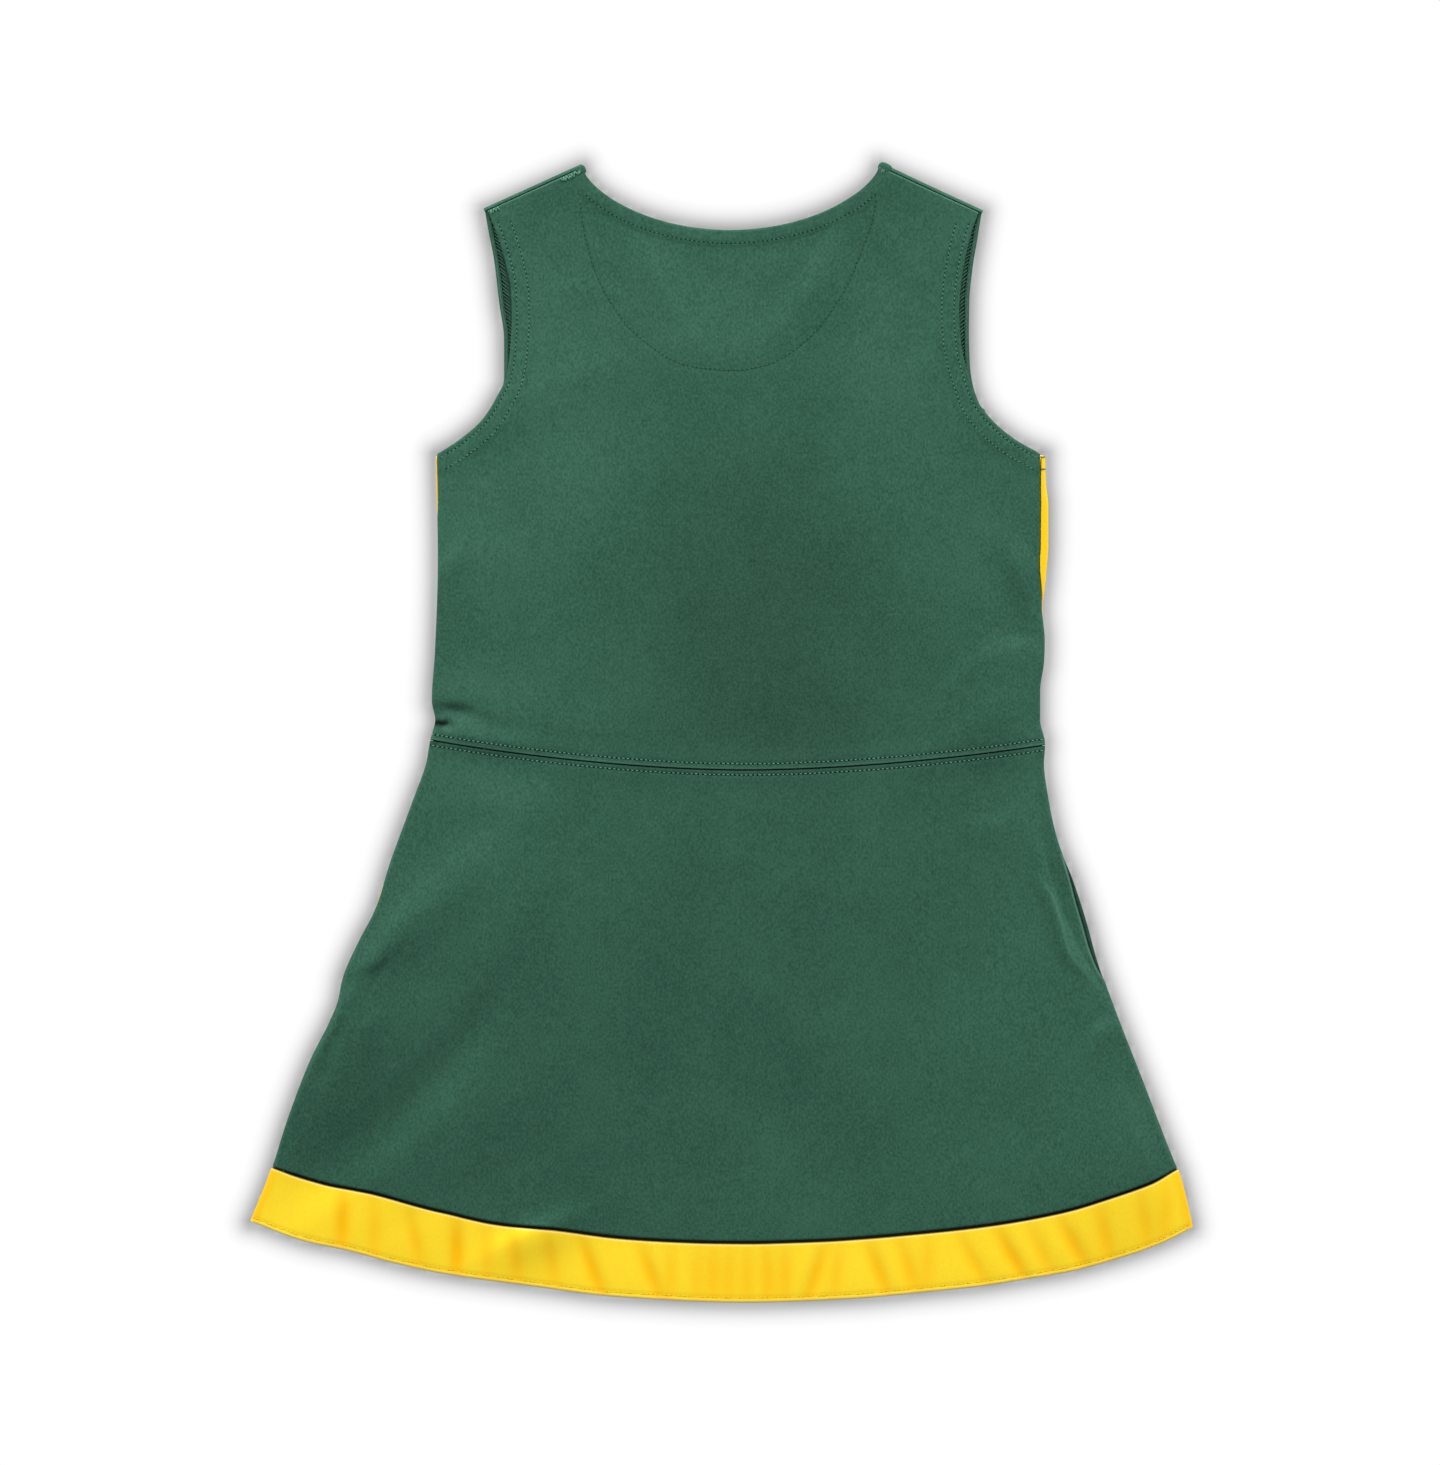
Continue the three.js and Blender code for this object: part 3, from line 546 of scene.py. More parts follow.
def grid_normals(grid):
    across = beside(grid, 1, 1) - beside(grid, 1, -1)
    up = beside(grid, 0, 1) - beside(grid, 0, -1)
    return unit(np.cross(across, up))


def gap_to(line, x, y):
    """Distance of points from a line of points, in the plane."""
    best = np.full(np.shape(x), np.inf)
    for (ax, ay), (bx, by) in zip(line[:-1], line[1:]):
        dx, dy = bx - ax, by - ay
        t = np.clip(((x - ax) * dx + (y - ay) * dy) / max(dx * dx + dy * dy, 1e-9), 0, 1)
        best = np.minimum(best, np.hypot(x - ax - t * dx, y - ay - t * dy))
    return best


RIM_TURNS = (math.radians(50), math.radians(90), math.radians(130))


def wall(name, grid, outer, inner=CLOTH / 2, bulge=0.12, marks=None):
    """A closed wall about a grid of points with a rounded rim. outer and inner are the faces' distances from it.

    A mark is a value for each point, or a pair of them for the outer and the inner face."""
    here = ~np.isnan(grid[..., 0])
    ids = np.full(here.shape, -1)
    ids[here] = np.arange(here.sum())
    count = int(here.sum())
    normal = grid_normals(grid)[here]
    middle = grid[here]
    spread = [np.broadcast_to(value, here.shape)[here] for value in (outer, inner, bulge)]
    top = middle + normal * spread[0][:, None]
    low = middle - normal * spread[1][:, None]
    cells = np.stack([ids[:-1, :-1], ids[:-1, 1:], ids[1:, 1:], ids[1:, :-1]], -1).reshape(-1, 4)
    cells = cells[(cells >= 0).all(1)]
    edges = np.stack([cells, np.roll(cells, -1, 1)], -1).reshape(-1, 2)
    code = edges[:, 0] * count + edges[:, 1]
    back = edges[:, 1] * count + edges[:, 0]
    rim = edges[~np.isin(code, back)]
    used = np.unique(rim)
    away = np.zeros_like(middle)
    facing = np.cross(middle[rim[:, 1]] - middle[rim[:, 0]], normal[rim[:, 0]])
    np.add.at(away, rim[:, 0], unit(facing))
    np.add.at(away, rim[:, 1], unit(facing))
    away = unit(away)
    points = [top, low]
    rings = [np.arange(count)]
    total = 2 * count
    for turn in RIM_TURNS:
        centre, half = (top + low)[used] / 2, (top - low)[used] / 2
        points.append(centre + half * math.cos(turn) + away[used] * spread[2][used, None] * math.sin(turn))
        place = np.full(count, -1)
        place[used] = total + np.arange(len(used))
        rings.append(place)
        total += len(used)
    rings.append(count + np.arange(count))
    faces = [cells, cells[:, ::-1] + count]
    for upper, lower in zip(rings, rings[1:]):
        faces.append(np.stack([upper[rim[:, 0]], lower[rim[:, 0]], lower[rim[:, 1]], upper[rim[:, 1]]], -1))
    attributes = {}
    for key, value in (marks or {}).items():
        pair = value if isinstance(value, tuple) else (value, value)
        upper, lower = [np.broadcast_to(one, here.shape)[here] for one in pair]
        attributes[key] = np.concatenate([upper, lower] + [(upper[used] + lower[used]) / 2] * len(RIM_TURNS))
    return mesh_object(name, np.concatenate(points), np.concatenate(faces), attributes)


def mesh_object(name, points, faces, attributes=None):
    """An object from points in millimetres and quads, with smooth shading."""
    mesh = bpy.data.meshes.new(name)
    faces = np.asarray(faces)
    mesh.vertices.add(len(points))
    mesh.vertices.foreach_set("co", (np.asarray(points) * MM).ravel())
    mesh.loops.add(faces.size)
    mesh.loops.foreach_set("vertex_index", faces.ravel())
    mesh.polygons.add(len(faces))
    mesh.polygons.foreach_set("loop_start", np.arange(len(faces)) * faces.shape[1])
    mesh.polygons.foreach_set("loop_total", np.full(len(faces), faces.shape[1]))
    mesh.update(calc_edges=True)
    mesh.validate()
    mesh.shade_smooth()
    for key, values in (attributes or {}).items():
        mesh.attributes.new(key, "FLOAT", "POINT").data.foreach_set("value", np.asarray(values, float))
    made = bpy.data.objects.new(name, mesh)
    bpy.context.scene.collection.objects.link(made)
    return made


# Lines that the finish of the cloth follows

def armhole_line(side, of=None):
    y = np.linspace(UNDERARM, side.tip[1], 70)
    return np.stack([(of or side.back_armhole_x)(y), y], -1)


def neck_line(depth, count=90):
    x, y = scoop(LEFT.neck, RIGHT.neck, depth, np.linspace(0, math.pi, count))
    return np.stack([x, y], -1)


def smooth_line(points, count):
    """A smooth line through points that run from left to right."""
    points = np.array(points, float)
    run = np.concatenate([[0], np.cumsum(np.hypot(*np.diff(points, axis=0).T))])
    at = np.linspace(0, run[-1], count)
    return np.stack([curve(list(zip(run, points[:, 0])))(at), curve(list(zip(run, points[:, 1])))(at)], -1)


NECK_BACK = neck_line(NECK_DEPTH_BACK)
NECK_FRONT = neck_line(NECK_DEPTH_FRONT)
FACING = smooth_line(HALF_MOON, 120)
FACING_FURROW = 0.16
FACING_FADE = (246, 260)  # heights over which the facing's relief runs out


def furrow(gap, at, depth, width=0.7):
    return -depth * bell((gap - at) / width)


def ripple(run, length, seed):
    """An uneven wave along a seam, between -1 and 1."""
    turn = run * 2 * math.pi / length
    waves = np.sin(turn + seed) + 0.7 * np.sin(0.61 * turn + 2.3 * seed)
    return (waves + 0.5 * np.sin(1.73 * turn + 4.1 * seed)) / 2.2


def waist_relief(gap, x, row):
    """Lips on both sides of the waist seam: rounded cloth, a stitched furrow, and the seam's allowance fading out."""
    lip = 0.18 * smooth(gap, -0.2, 0.7) * (1 - smooth(gap, row + 1, row + 9))
    lip = lip + furrow(gap, row, 0.12)
    return lip + 0.06 * ripple(x, 9, 1.0) * bell((gap - row - 1.5) / 4)


def hem_relief(gap, rows, run, seed):
    """An edge that is turned under and stitched down."""
    end = rows[-1] + 1.2
    relief = 0.36 * smooth(gap, -0.4, 0.9) * (1 - smooth(gap, end - 1.0, end + 1.2))
    for row in rows:
        relief = relief + furrow(gap, row, 0.16)
    return relief + 0.07 * ripple(run, 7, seed) * bell((gap - rows[-1]) / 3)


def back_bodice_relief(x, y):
    """How proud the back bodice's outer face stands of plain cloth."""
    relief = waist_relief(y - waist_y(x), x, WAIST_ROW)
    sewn_lines = hem_relief(gap_to(NECK_BACK, x, y), (NECK_ROW,), x, 0.4)
    for side, seed in zip(SIDES, (2.2, 3.7)):
        sewn_lines = sewn_lines + hem_relief(gap_to(armhole_line(side), x, y), ARMHOLE_ROWS, y, seed)
    facing = gap_to(FACING, x, y)
    faced = furrow(facing, 0, FACING_FURROW, 0.8) + 0.05 * ripple(x + y, 8, 5.0) * bell(facing / 3)
    sewn_lines = sewn_lines + faced * (1 - smooth(y, *FACING_FADE))
    for side in SIDES:
        from_neck = np.hypot(x - side.neck[0], y - side.neck[1])
        from_tip = np.hypot(x - side.tip[0], y - side.tip[1])
        sewn_lines = sewn_lines * smooth(from_neck, 5, 16) * smooth(from_tip, 2, 9)
    return relief + sewn_lines


# Rows and columns, as distances from an edge
LIP_STEPS = (0.4, 0.8, 1.2, 1.7, 2.2, 2.6, 3.0, 3.5, 4.2, 5.0, 6.0, 7.0, 8.2)
HEM_STEPS = (0.3, 0.7, 1.2, 1.9, 2.4, 2.9, 3.7, 4.7, 5.6, 6.2, 6.6, 7.2, 8.1, 8.7, 9.3, 10.2, 11.5)
HEM_ZONE = HEM_STEPS[-1]
ROLL_ZONE = 8.0
NEXT_ZONE = 16.0


def back_knots(y, seam_of=None):
    """Knots across the back: its edge, the end of the edge zone, the end of the next zone, and the same mirrored."""
    y = np.asarray(y, float)
    rows = []
    for side in SIDES:
        start, radius = side.roll(y)
        quarter = radius * math.pi / 2
        seam = side.seam_d(y) if seam_of is None else seam_of(quarter)
        rolled = start + side.sign * (quarter - seam - SEAM_GAP / 2)
        edge = np.where(y > UNDERARM, side.back_armhole_x(y), rolled)
        zone = lerp(ROLL_ZONE, HEM_ZONE, smooth(y, UNDERARM - 30, UNDERARM))
        rows.append((edge, edge - side.sign * zone, edge - side.sign * (zone + NEXT_ZONE)))
    left, right = rows
    return [left[0], left[1], left[2], right[2], right[1], right[0]]


def shifted(line, by):
    return lambda x: line(x) + by


def level(height):
    return lambda x: height + 0 * x


def lips_above(line):
    """Guides that go up from a seam."""
    return [(shifted(line, step), 1) for step in LIP_STEPS]


def lips_below(line, count, edge):
    """Guides that come up to a seam: count rows before its lip, the lip's rows and the edge of the cloth."""
    guides = [(shifted(line, -LIP_STEPS[-1]), count)]
    guides += [(shifted(line, -step), 1) for step in reversed(LIP_STEPS[:-1])]
    return guides + [(shifted(line, -edge), 1)]


EDGE_SHARES = [0] + [step / HEM_ZONE for step in HEM_STEPS]
# A rim at the right of the skirt that the fold hides. Rows are (y, width).
RIM = [(-126, 0), (-116, 2), (-103, 2.9), (-88, 2.9), (-74, 1.9), (-56, 0)]
rim_width = curve(RIM)


def back_bodice():
    neck_turns = np.linspace(0, math.pi, 97)
    neck_x = scoop(LEFT.neck, RIGHT.neck, NECK_DEPTH_BACK, neck_turns)[0]
    left_hem = [LEFT.tip[0] + share * HEM_ZONE for share in EDGE_SHARES]
    right_hem = [RIGHT.tip[0] - share * HEM_ZONE for share in EDGE_SHARES]
    towards_neck = 1 - (1 - np.linspace(0, 1, 34)) ** 1.7
    across = np.concatenate([
        left_hem,
        lerp(left_hem[-1], LEFT.neck[0], towards_neck)[1:],
        neck_x[1:],
        lerp(right_hem[-1], RIGHT.neck[0], towards_neck)[::-1][1:],
        right_hem[::-1][1:],
    ])
    in_neck = (across > LEFT.neck[0]) & (across < RIGHT.neck[0])
    top = top_y(across) - np.where(in_neck, 0, SHOULDER_EDGE)
    cols = column_through(across, top, back_knots)
    guides = [(shifted(waist_y, BODICE_EDGE), 0), *lips_above(waist_y)[1:]]
    guides += [(shifted(waist_y, 30), 24), (level(UNDERARM), 62), (level(ARMHOLE_BEND), 22)]
    guides += [(top - HEM_STEPS[-1], 44)]
    guides += [(top - step, 1) for step in reversed(HEM_STEPS[:-1])]
    guides += [(top, 1)]
    grid, _, y = grid_of(back_knots, lay_back, cols, guides)
    outer = CLOTH / 2 + back_bodice_relief(grid[..., 0], y)
    at = grid[..., 0]
    on_shoulder = (y > ARMHOLE_BEND) & ((at < LEFT.neck[0]) | (at > RIGHT.neck[0]))
    shoulder_gap = np.where(on_shoulder, top_y(at) - y, 99)
    waist_gap = y - waist_y(at)
    # Painted highlights: a pale line above the waist seam and along the shoulder seams.
    edge = 0.5 * bell((waist_gap - 1.1) / 0.4) + 0.8 * bell((shoulder_gap - 0.5) / 0.5)
    # Painted shadow in the waist seam's slit and in the tucks, times broad painted light and shade.
    dark = np.maximum(0.88 * bell((waist_gap - 0.3) / 0.3), tuck_shadow(at, y))
    marks = {"edge": edge, "shade": (1 + painted_tone(at, y)) * (1 - dark) - 1}
    return wall("back_bodice_cloth", grid, outer, bulge=0.14, marks=marks)


def back_skirt():
    cols = columns(even(32), even(12), even(170), even(30), even(32))
    low = (0.3, 0.6, 1.0, 1.5, 2.2, 3.2, 5.0)
    guides = [(skirt_bottom_y, 0)]
    guides += [(shifted(skirt_bottom_y, step), 1) for step in low]
    guides += lips_below(waist_y, 118, WAIST_EDGE)
    grid, _, y = grid_of(back_knots, lay_back, cols, guides)
    at = grid[..., 0]
    gap = waist_y(at) - y
    bottom = y - skirt_bottom_y(at)
    rim = RIGHT.crest_x(y) - at - rim_width(y)
    has_rim = smooth(rim_width(y), 0, 0.8)
    low_rim = (1 - smooth(rim, -0.4, 0.2)) * has_rim
    outer = CLOTH / 2 + waist_relief(gap, at, SKIRT_ROW) - 0.35 * (1 - smooth(bottom, -0.7, 1.3))
    outer = outer + 0.08 * ripple(at, 11, 2.6) * bell((bottom - 3) / 5) - 0.35 * low_rim
    # Painted shadow in the waist seam's slit, in the slit above the hem band, on the hidden rim at the right and
    # beside the sharp ridge.
    dark = 0.75 * bell(gap / 0.3) + 0.08 * (1 - smooth(gap, 2.4, 4)) + 0.8 * bell(bottom / 0.5)
    dark = dark + 0.5 * low_rim + 0.4 * bell((rim + 0.4) / 0.4) * has_rim + tuck_shadow(at, y)
    # Painted highlights along the fold's edge over the rim and along the sharp ridge.
    painted_highlight = bell((rim - 0.5) / 0.4) * smooth(rim_width(y), 0, 1.5)
    painted_highlight = painted_highlight + 0.28 * ridge_share(y) * bell((at - ridge_x(y) - 0.3) / 0.7)
    dark = dark + 0.1 * ridge_share(y) * bell((at - ridge_x(y) + 4.5) / 3)
    marks = {"edge": painted_highlight, "shade": (1 + painted_tone(at, y)) * (1 - np.minimum(dark, 0.9)) - 1}
    return wall("back_skirt_cloth", grid, outer, marks=marks)


def back_hem_band():
    ends = even(12)
    cols = columns(ends, even(10), even(330), even(10), ends)
    edge = (0.3, 0.7, 1.2, 1.9, 2.6, 3.4, 4.6)
    guides = [(shifted(hem_y, 0), 0), *[(shifted(hem_y, step), 1) for step in edge]]
    guides += [(shifted(band_upper_y, -edge[-2]), 14)]
    guides += [(shifted(band_upper_y, -step), 1) for step in reversed(edge[:-2])]
    guides += [(band_upper_y, 1)]
    knots = lambda y: back_knots(y, lambda quarter: -quarter - BAND_JOIN)
    grid, _, y = grid_of(knots, lay_back, cols, guides)
    at = grid[..., 0]
    gap = y - hem_y(at)
    top_gap = band_upper_y(at) - y
    proud = 0.3 * smooth(gap, -0.3, 1.0) * smooth(top_gap, -0.5, 0.6) + furrow(gap, HEM_ROW, 0.14)
    proud = proud + 0.07 * ripple(at, 6, 1.4) * bell((gap - HEM_ROW) / 4)
    proud = proud + 0.06 * ripple(at + 0.2 * y, 8.3, 3.4) * bell(top_gap / 14)
    upper = smooth(grid[..., 2], FRONT_LEVEL + 0.2, FRONT_LEVEL + 1.2)
    outer = CLOTH / 2 + proud * upper - 0.1 * (1 - upper)
    # Painted shade on the band's side rolls.
    side_rim = np.maximum(*[bell((side.crest_x(y) - at) / 3) for side in SIDES])
    # Painted highlights along the hem's folded edge and the band's top edge; painted shadow in the slit at the band's
    # top; painted shade in the puckers.
    marks = {
        "edge": np.maximum(bell(gap / 0.9), 0.8 * bell((top_gap - 0.5) / 0.4)) * upper,
        "shade": -0.85 * bell(top_gap / 0.28) - 0.07 * side_rim,
        "crease": np.maximum(pucker_depth(at, y) * upper, side_rim),
    }
    return wall("back_hem_band_cloth", grid, outer, bulge=0.2, marks=marks)


def turned_over(grid):
    """The front is seen from its inside, so its columns run from right to left and its outer face is down."""
    return grid[:, ::-1]


def front_knots(y):
    y = np.asarray(y, float)
    rows = []
    for side in SIDES:
        seam = side.front_seam_x(y) - side.sign * SEAM_GAP / 2
        edge = np.where(y > FRONT_SEAM_TOP, side.front_armhole_x(y), seam)
        rows.append((edge, edge - side.sign * HEM_ZONE))
    left, right = rows
    return [left[0], left[1], right[1], right[0]]


# Shallow troughs in the front's underside, which lies on the surface, in the same columns as the folds.
UNDER_FOLDS = [
    (-150, -160, 48, 52, 7, 7, 0.45, 4),
    (-118, -196, 46, 60, 8, 8, 0.4, 0),
    (-124, -30, -8, 30, 5, 5, 0.35, 0),
    (160, -110, -62, 44, 6, 6, 0.45, 3),
    (128, -44, 20, 24, 5, 5, 0.3, 0),
    (178, -190, 62, 40, 7, 7, 0.4, 0),
    (-60, -226, 24, 34, 6, 6, 0.35, 0),
    (40, -150, 82, 70, 9, 9, 0.25, 6),
    (118, 22, 33, 42, 6, 6, 0.4, -6),
    (-112, 8, -14, 36, 5, 5, 0.4, 0),
    (-118, 92, 66, 24, 5, 5, 0.3, 0),
    (-70, 176, 10, 30, 6, 6, 0.3, 0),
    (40, 190, 58, 26, 6, 6, 0.25, 0),
    (94, 186, 70, 34, 6, 6, 0.3, 0),
    (10, 90, -20, 60, 10, 10, 0.2, 5),
]


FRONT_ROW = 2.8  # from the waist seam to the rows that hold it down on the front
MOST_BACK = 0.6  # that the front's outer face draws back from the surface it lies on


def under_relief(x, y):
    """How far the front's outer face draws back from the surface it lies on."""
    relief = 0
    for fold in UNDER_FOLDS:
        relief = relief + fold_height(fold, x, y)
    waist = np.abs(y - front_waist_y(x))
    return relief + 0.4 * bell(waist / 0.9) + 0.25 * bell((waist - FRONT_ROW) / 0.7)


def seam_slit_shadow(x, y):
    """Painted shadow on the inside below the slits of the waist seam and of the seam with the hem band."""
    waist = 1 - smooth(np.abs(y - waist_y(x)), 1.5, 3.5)
    band = 1 - smooth(np.abs(y - band_top_y(x)), 2.4, 3.6)
    return -0.9 * np.maximum(waist, band)


def front_bodice():
    left_hem = [LEFT.front_tip + step for step in (0,) + HEM_STEPS]
    right_hem = [RIGHT.front_tip - step for step in (0,) + HEM_STEPS]
    neck_x, neck_y = scoop(LEFT.neck, RIGHT.neck, NECK_DEPTH_FRONT, np.linspace(0, math.pi, 61))
    left_x = np.concatenate([left_hem, np.linspace(left_hem[-1], LEFT.neck[0], 14)[1:]])
    right_x = np.concatenate([np.linspace(RIGHT.neck[0], right_hem[-1], 14), right_hem[::-1][1:]])
    across = np.concatenate([left_x, neck_x[1:-1], right_x])
    top = np.concatenate([top_y(left_x), neck_y[1:-1], top_y(right_x)])
    on_seam = [LEFT] * len(left_x) + [None] * (len(neck_x) - 2) + [RIGHT] * len(right_x)
    cols = column_through(across, top, front_knots)
    guides = [(shifted(front_waist_y, SEAM_GAP / 2), 0), *lips_above(front_waist_y)]
    guides += [(level(UNDERARM), 34), (level(FRONT_SEAM_TOP), 8), (level(ARMHOLE_BEND), 8), (top, 34)]
    grid = grid_of(front_knots, lay_front, cols, guides)[0]
    roll_rows = 9
    rolled = []
    for row in range(1, roll_rows + 1):
        line = np.full((len(across), 3), np.nan)
        for side in SIDES:
            here = np.array([s is side for s in on_seam])
            start_x, start_y = across[here], top[here]
            past = (math.pi * shoulder(side, start_x, start_y)[1] - SEAM_GAP / 2) * row / roll_rows
            line[here] = lay_front(start_x + past * side.out[0], start_y + past * side.out[1])
        rolled.append(line)
    grid = np.concatenate([grid, np.array(rolled)])
    px, py = np.nan_to_num(grid[..., 0]), np.nan_to_num(grid[..., 1])
    armhole = np.minimum(*[gap_to(armhole_line(side, side.front_armhole_x), px, py) for side in SIDES])
    neck = gap_to(NECK_FRONT, px, py)
    flat = (np.nan_to_num(grid[..., 2]) < FRONT_LEVEL + 0.01).astype(float)
    below = under_relief(px, py) + 0.25 * bell((neck - NECK_ROW) / 0.7)
    for row in ARMHOLE_ROWS:
        below = below + 0.2 * bell((armhole - row) / 0.7)
    outer = CLOTH / 2 - np.minimum(below, MOST_BACK) * flat
    hem = 0.34 * smooth(armhole, -0.4, 0.8) * (1 - smooth(armhole, 9.0, 10.6))
    hem = hem - 0.3 * bell((armhole - STRIP - 0.6) / 0.5)
    hem = np.maximum(hem, 0.3 * smooth(neck, -0.4, 0.8) * (1 - smooth(neck, 6.8, 8.2)))
    inner = CLOTH / 2 + hem * flat
    loops = smooth(armhole, STRIP - 0.1, STRIP + 0.5) * flat
    # Painted highlight on the outer edge of the plain strip; painted shade over the loops, seen in the slit past the
    # back's edge.
    edge = 0.7 * bell((armhole - STRIP + 0.5) / 0.4) * flat
    dark = np.minimum(-0.72 * loops, seam_slit_shadow(px, py))
    marks = {"edge": turned_over(edge), "shade": (0 * flat, turned_over(dark))}
    return wall("front_bodice_cloth", turned_over(grid), turned_over(outer), turned_over(inner), marks=marks)


def short_of_back(x):
    return FRONT_SHORTER * np.maximum(0, 1 - np.square((x - MIDDLE) / FRONT_SHORTER_REACH))


def front_hem_y(x):
    return hem_y(x) + short_of_back(x)


def front_join_y(x):
    return band_top_y(x) + np.maximum(short_of_back(x), FRONT_JOIN_HIGHER)


def front_skirt():
    cols = columns([0, 0.3, 1], even(90), [0, 0.7, 1])
    guides = [(shifted(front_join_y, SEAM_GAP / 2), 0), (shifted(front_join_y, SEAM_GAP / 2 + 2), 3)]
    guides += lips_below(front_waist_y, 60, SEAM_GAP / 2)
    grid, x, y = grid_of(front_knots, lay_front, cols, guides)
    below = under_relief(x, y) + 0.3 * bell((y - front_join_y(x)) / 0.9)
    outer = CLOTH / 2 - np.minimum(below, MOST_BACK)
    marks = {"shade": (0 * outer, turned_over(seam_slit_shadow(x, y)))}
    return wall("front_skirt_cloth", turned_over(grid), turned_over(outer), marks=marks)


def front_hem_band():
    cols = columns(even(220))

    def knots(y):
        return [side.roll(y)[0] - side.sign * (BAND_JOIN + SEAM_GAP / 2) for side in SIDES]

    guides = [
        (front_hem_y, 0),
        (shifted(front_hem_y, 4), 6),
        (shifted(front_join_y, -SEAM_GAP / 2 - 2), 10),
        (shifted(front_join_y, -SEAM_GAP / 2), 3),
    ]
    grid, x, y = grid_of(knots, lay_front, cols, guides)
    gap = y - hem_y(x) - short_of_back(x)
    join = front_join_y(x) - y
    below = 0.25 * bell((gap - HEM_ROW) / 0.7) + 0.3 * bell(join / 0.9)
    below = below + 0.16 * (1 + ripple(x + 0.2 * y, 19, 0.7)) * bell(gap / 40)
    outer = CLOTH / 2 - np.minimum(below, MOST_BACK)
    # Painted highlight along the hem's folded edge.
    marks = {"edge": turned_over(bell(gap)), "shade": (0 * outer, turned_over(seam_slit_shadow(x, y)))}
    return wall("front_hem_band_cloth", turned_over(grid), turned_over(outer), marks=marks)


def side_panel(side, part, guides):
    """A side panel, from its seam with the back round the fold to its seam with the front."""

    def knots(y):
        start, radius = side.roll(y)
        quarter = radius * math.pi / 2
        inset = side.sign * (start - side.front_seam_x(y))
        return [side.seam_d(y) - ROLL_GAP + SEAM_GAP / 2, -quarter, -quarter - inset + SEAM_GAP / 2]

    cols = columns(even(14), [0, 0.05, 0.08, 0.092, 0.105, 0.12, 0.14, *np.linspace(0.2, 1, 10)])
    grid, d, y = grid_of(knots, lambda d, y: round_fold(side, d, y), cols, guides)
    x = grid[..., 0]
    gap = np.abs(y - front_waist_y(x))
    outer = CLOTH / 2 + np.where(d > -1, 0.3 * bell((gap - 1.6) / 1.6), -0.35 * bell(gap / 0.9))
    # Painted shadow where the panel shows in the waist seam's slit; the rest of the outer face is a little darker and
    # more orange in its own colour.
    slit_shadow = 0.8 * bell((y - waist_y(x)) / 0.7)
    fields = [grid, outer, -0.12 - 0.88 * slit_shadow, seam_slit_shadow(x, y)]
    if side.sign < 0:
        fields = [turned_over(field) for field in fields]
    grid, outer, shade, dark = fields
    marks = {"shade": (shade, dark), "crease": (0.5 + 0 * dark, 0 * dark)}
    return wall(f"{side.name}_{part}_side_cloth", grid, outer, marks=marks)


UNDERARM_LOWER = 1.4  # by which a side panel hides behind the back's armhole


def bodice_side(side):
    guides = [(shifted(front_waist_y, SEAM_GAP / 2), 0), *lips_above(front_waist_y)]
    seam_x = side.front_seam_x(UNDERARM)

    def armhole(x):
        return side.front_armhole_y(x) - UNDERARM_LOWER * smooth(side.sign * (x - seam_x), 2, 10)

    guides += [(armhole, 70)]
    return side_panel(side, "bodice", guides)


def skirt_side(side):

    def bottom(x):
        """It meets the back's band where that comes round the fold, and the front's band further in."""
        start, _ = side.roll(band_top_y(x))
        inward = side.sign * (start - x)
        over_front = smooth(inward, BAND_JOIN - 0.1, BAND_JOIN + 0.3)
        return lerp(band_upper_y(x) + SEAM_GAP, front_join_y(x) + SEAM_GAP / 2, over_front)

    return side_panel(side, "skirt", [(bottom, 0), *lips_below(front_waist_y, 96, SEAM_GAP / 2)])


# Stitches

rng = np.random.default_rng(7)
PITCH = 2.28
THREAD_SHARE = 0.5  # of the pitch that shows as thread
THREAD_SINK = 0.08  # of a stitch's ends into the cloth
HOLE_DRIFT = 0.05  # of the needle from its line


def outer_face(lay, x, y, proud):
    """Points of a laid piece's outer face, and the normals there."""
    step = 0.05
    across = lay(x + step, y) - lay(x - step, y)
    up = lay(x, y + step) - lay(x, y - step)
    normal = unit(np.cross(across, up))
    return lay(x, y) + normal * (CLOTH / 2 + proud)[..., None], normal


def along_line(line, pitch):
    """Places of needle holes along a line of points, a pitch apart."""
    run = np.concatenate([[0], np.cumsum(np.hypot(*np.diff(line, axis=0).T))])
    at = np.linspace(0, run[-1], max(2, int(round(run[-1] / pitch)) + 1))
    return np.stack([np.interp(at, run, line[:, 0]), np.interp(at, run, line[:, 1])], -1)


def offset_line(line, by):
    """A line of points moved to its left side."""
    ahead = np.gradient(line, axis=0)
    ahead = ahead / np.hypot(*ahead.T)[:, None]
    return line + by * np.stack([-ahead[:, 1], ahead[:, 0]], -1)


STATIONS = np.array([0.0, 0.12, 0.32, 0.5, 0.68, 0.88, 1.0])
SIDES_OF_THREAD = 6


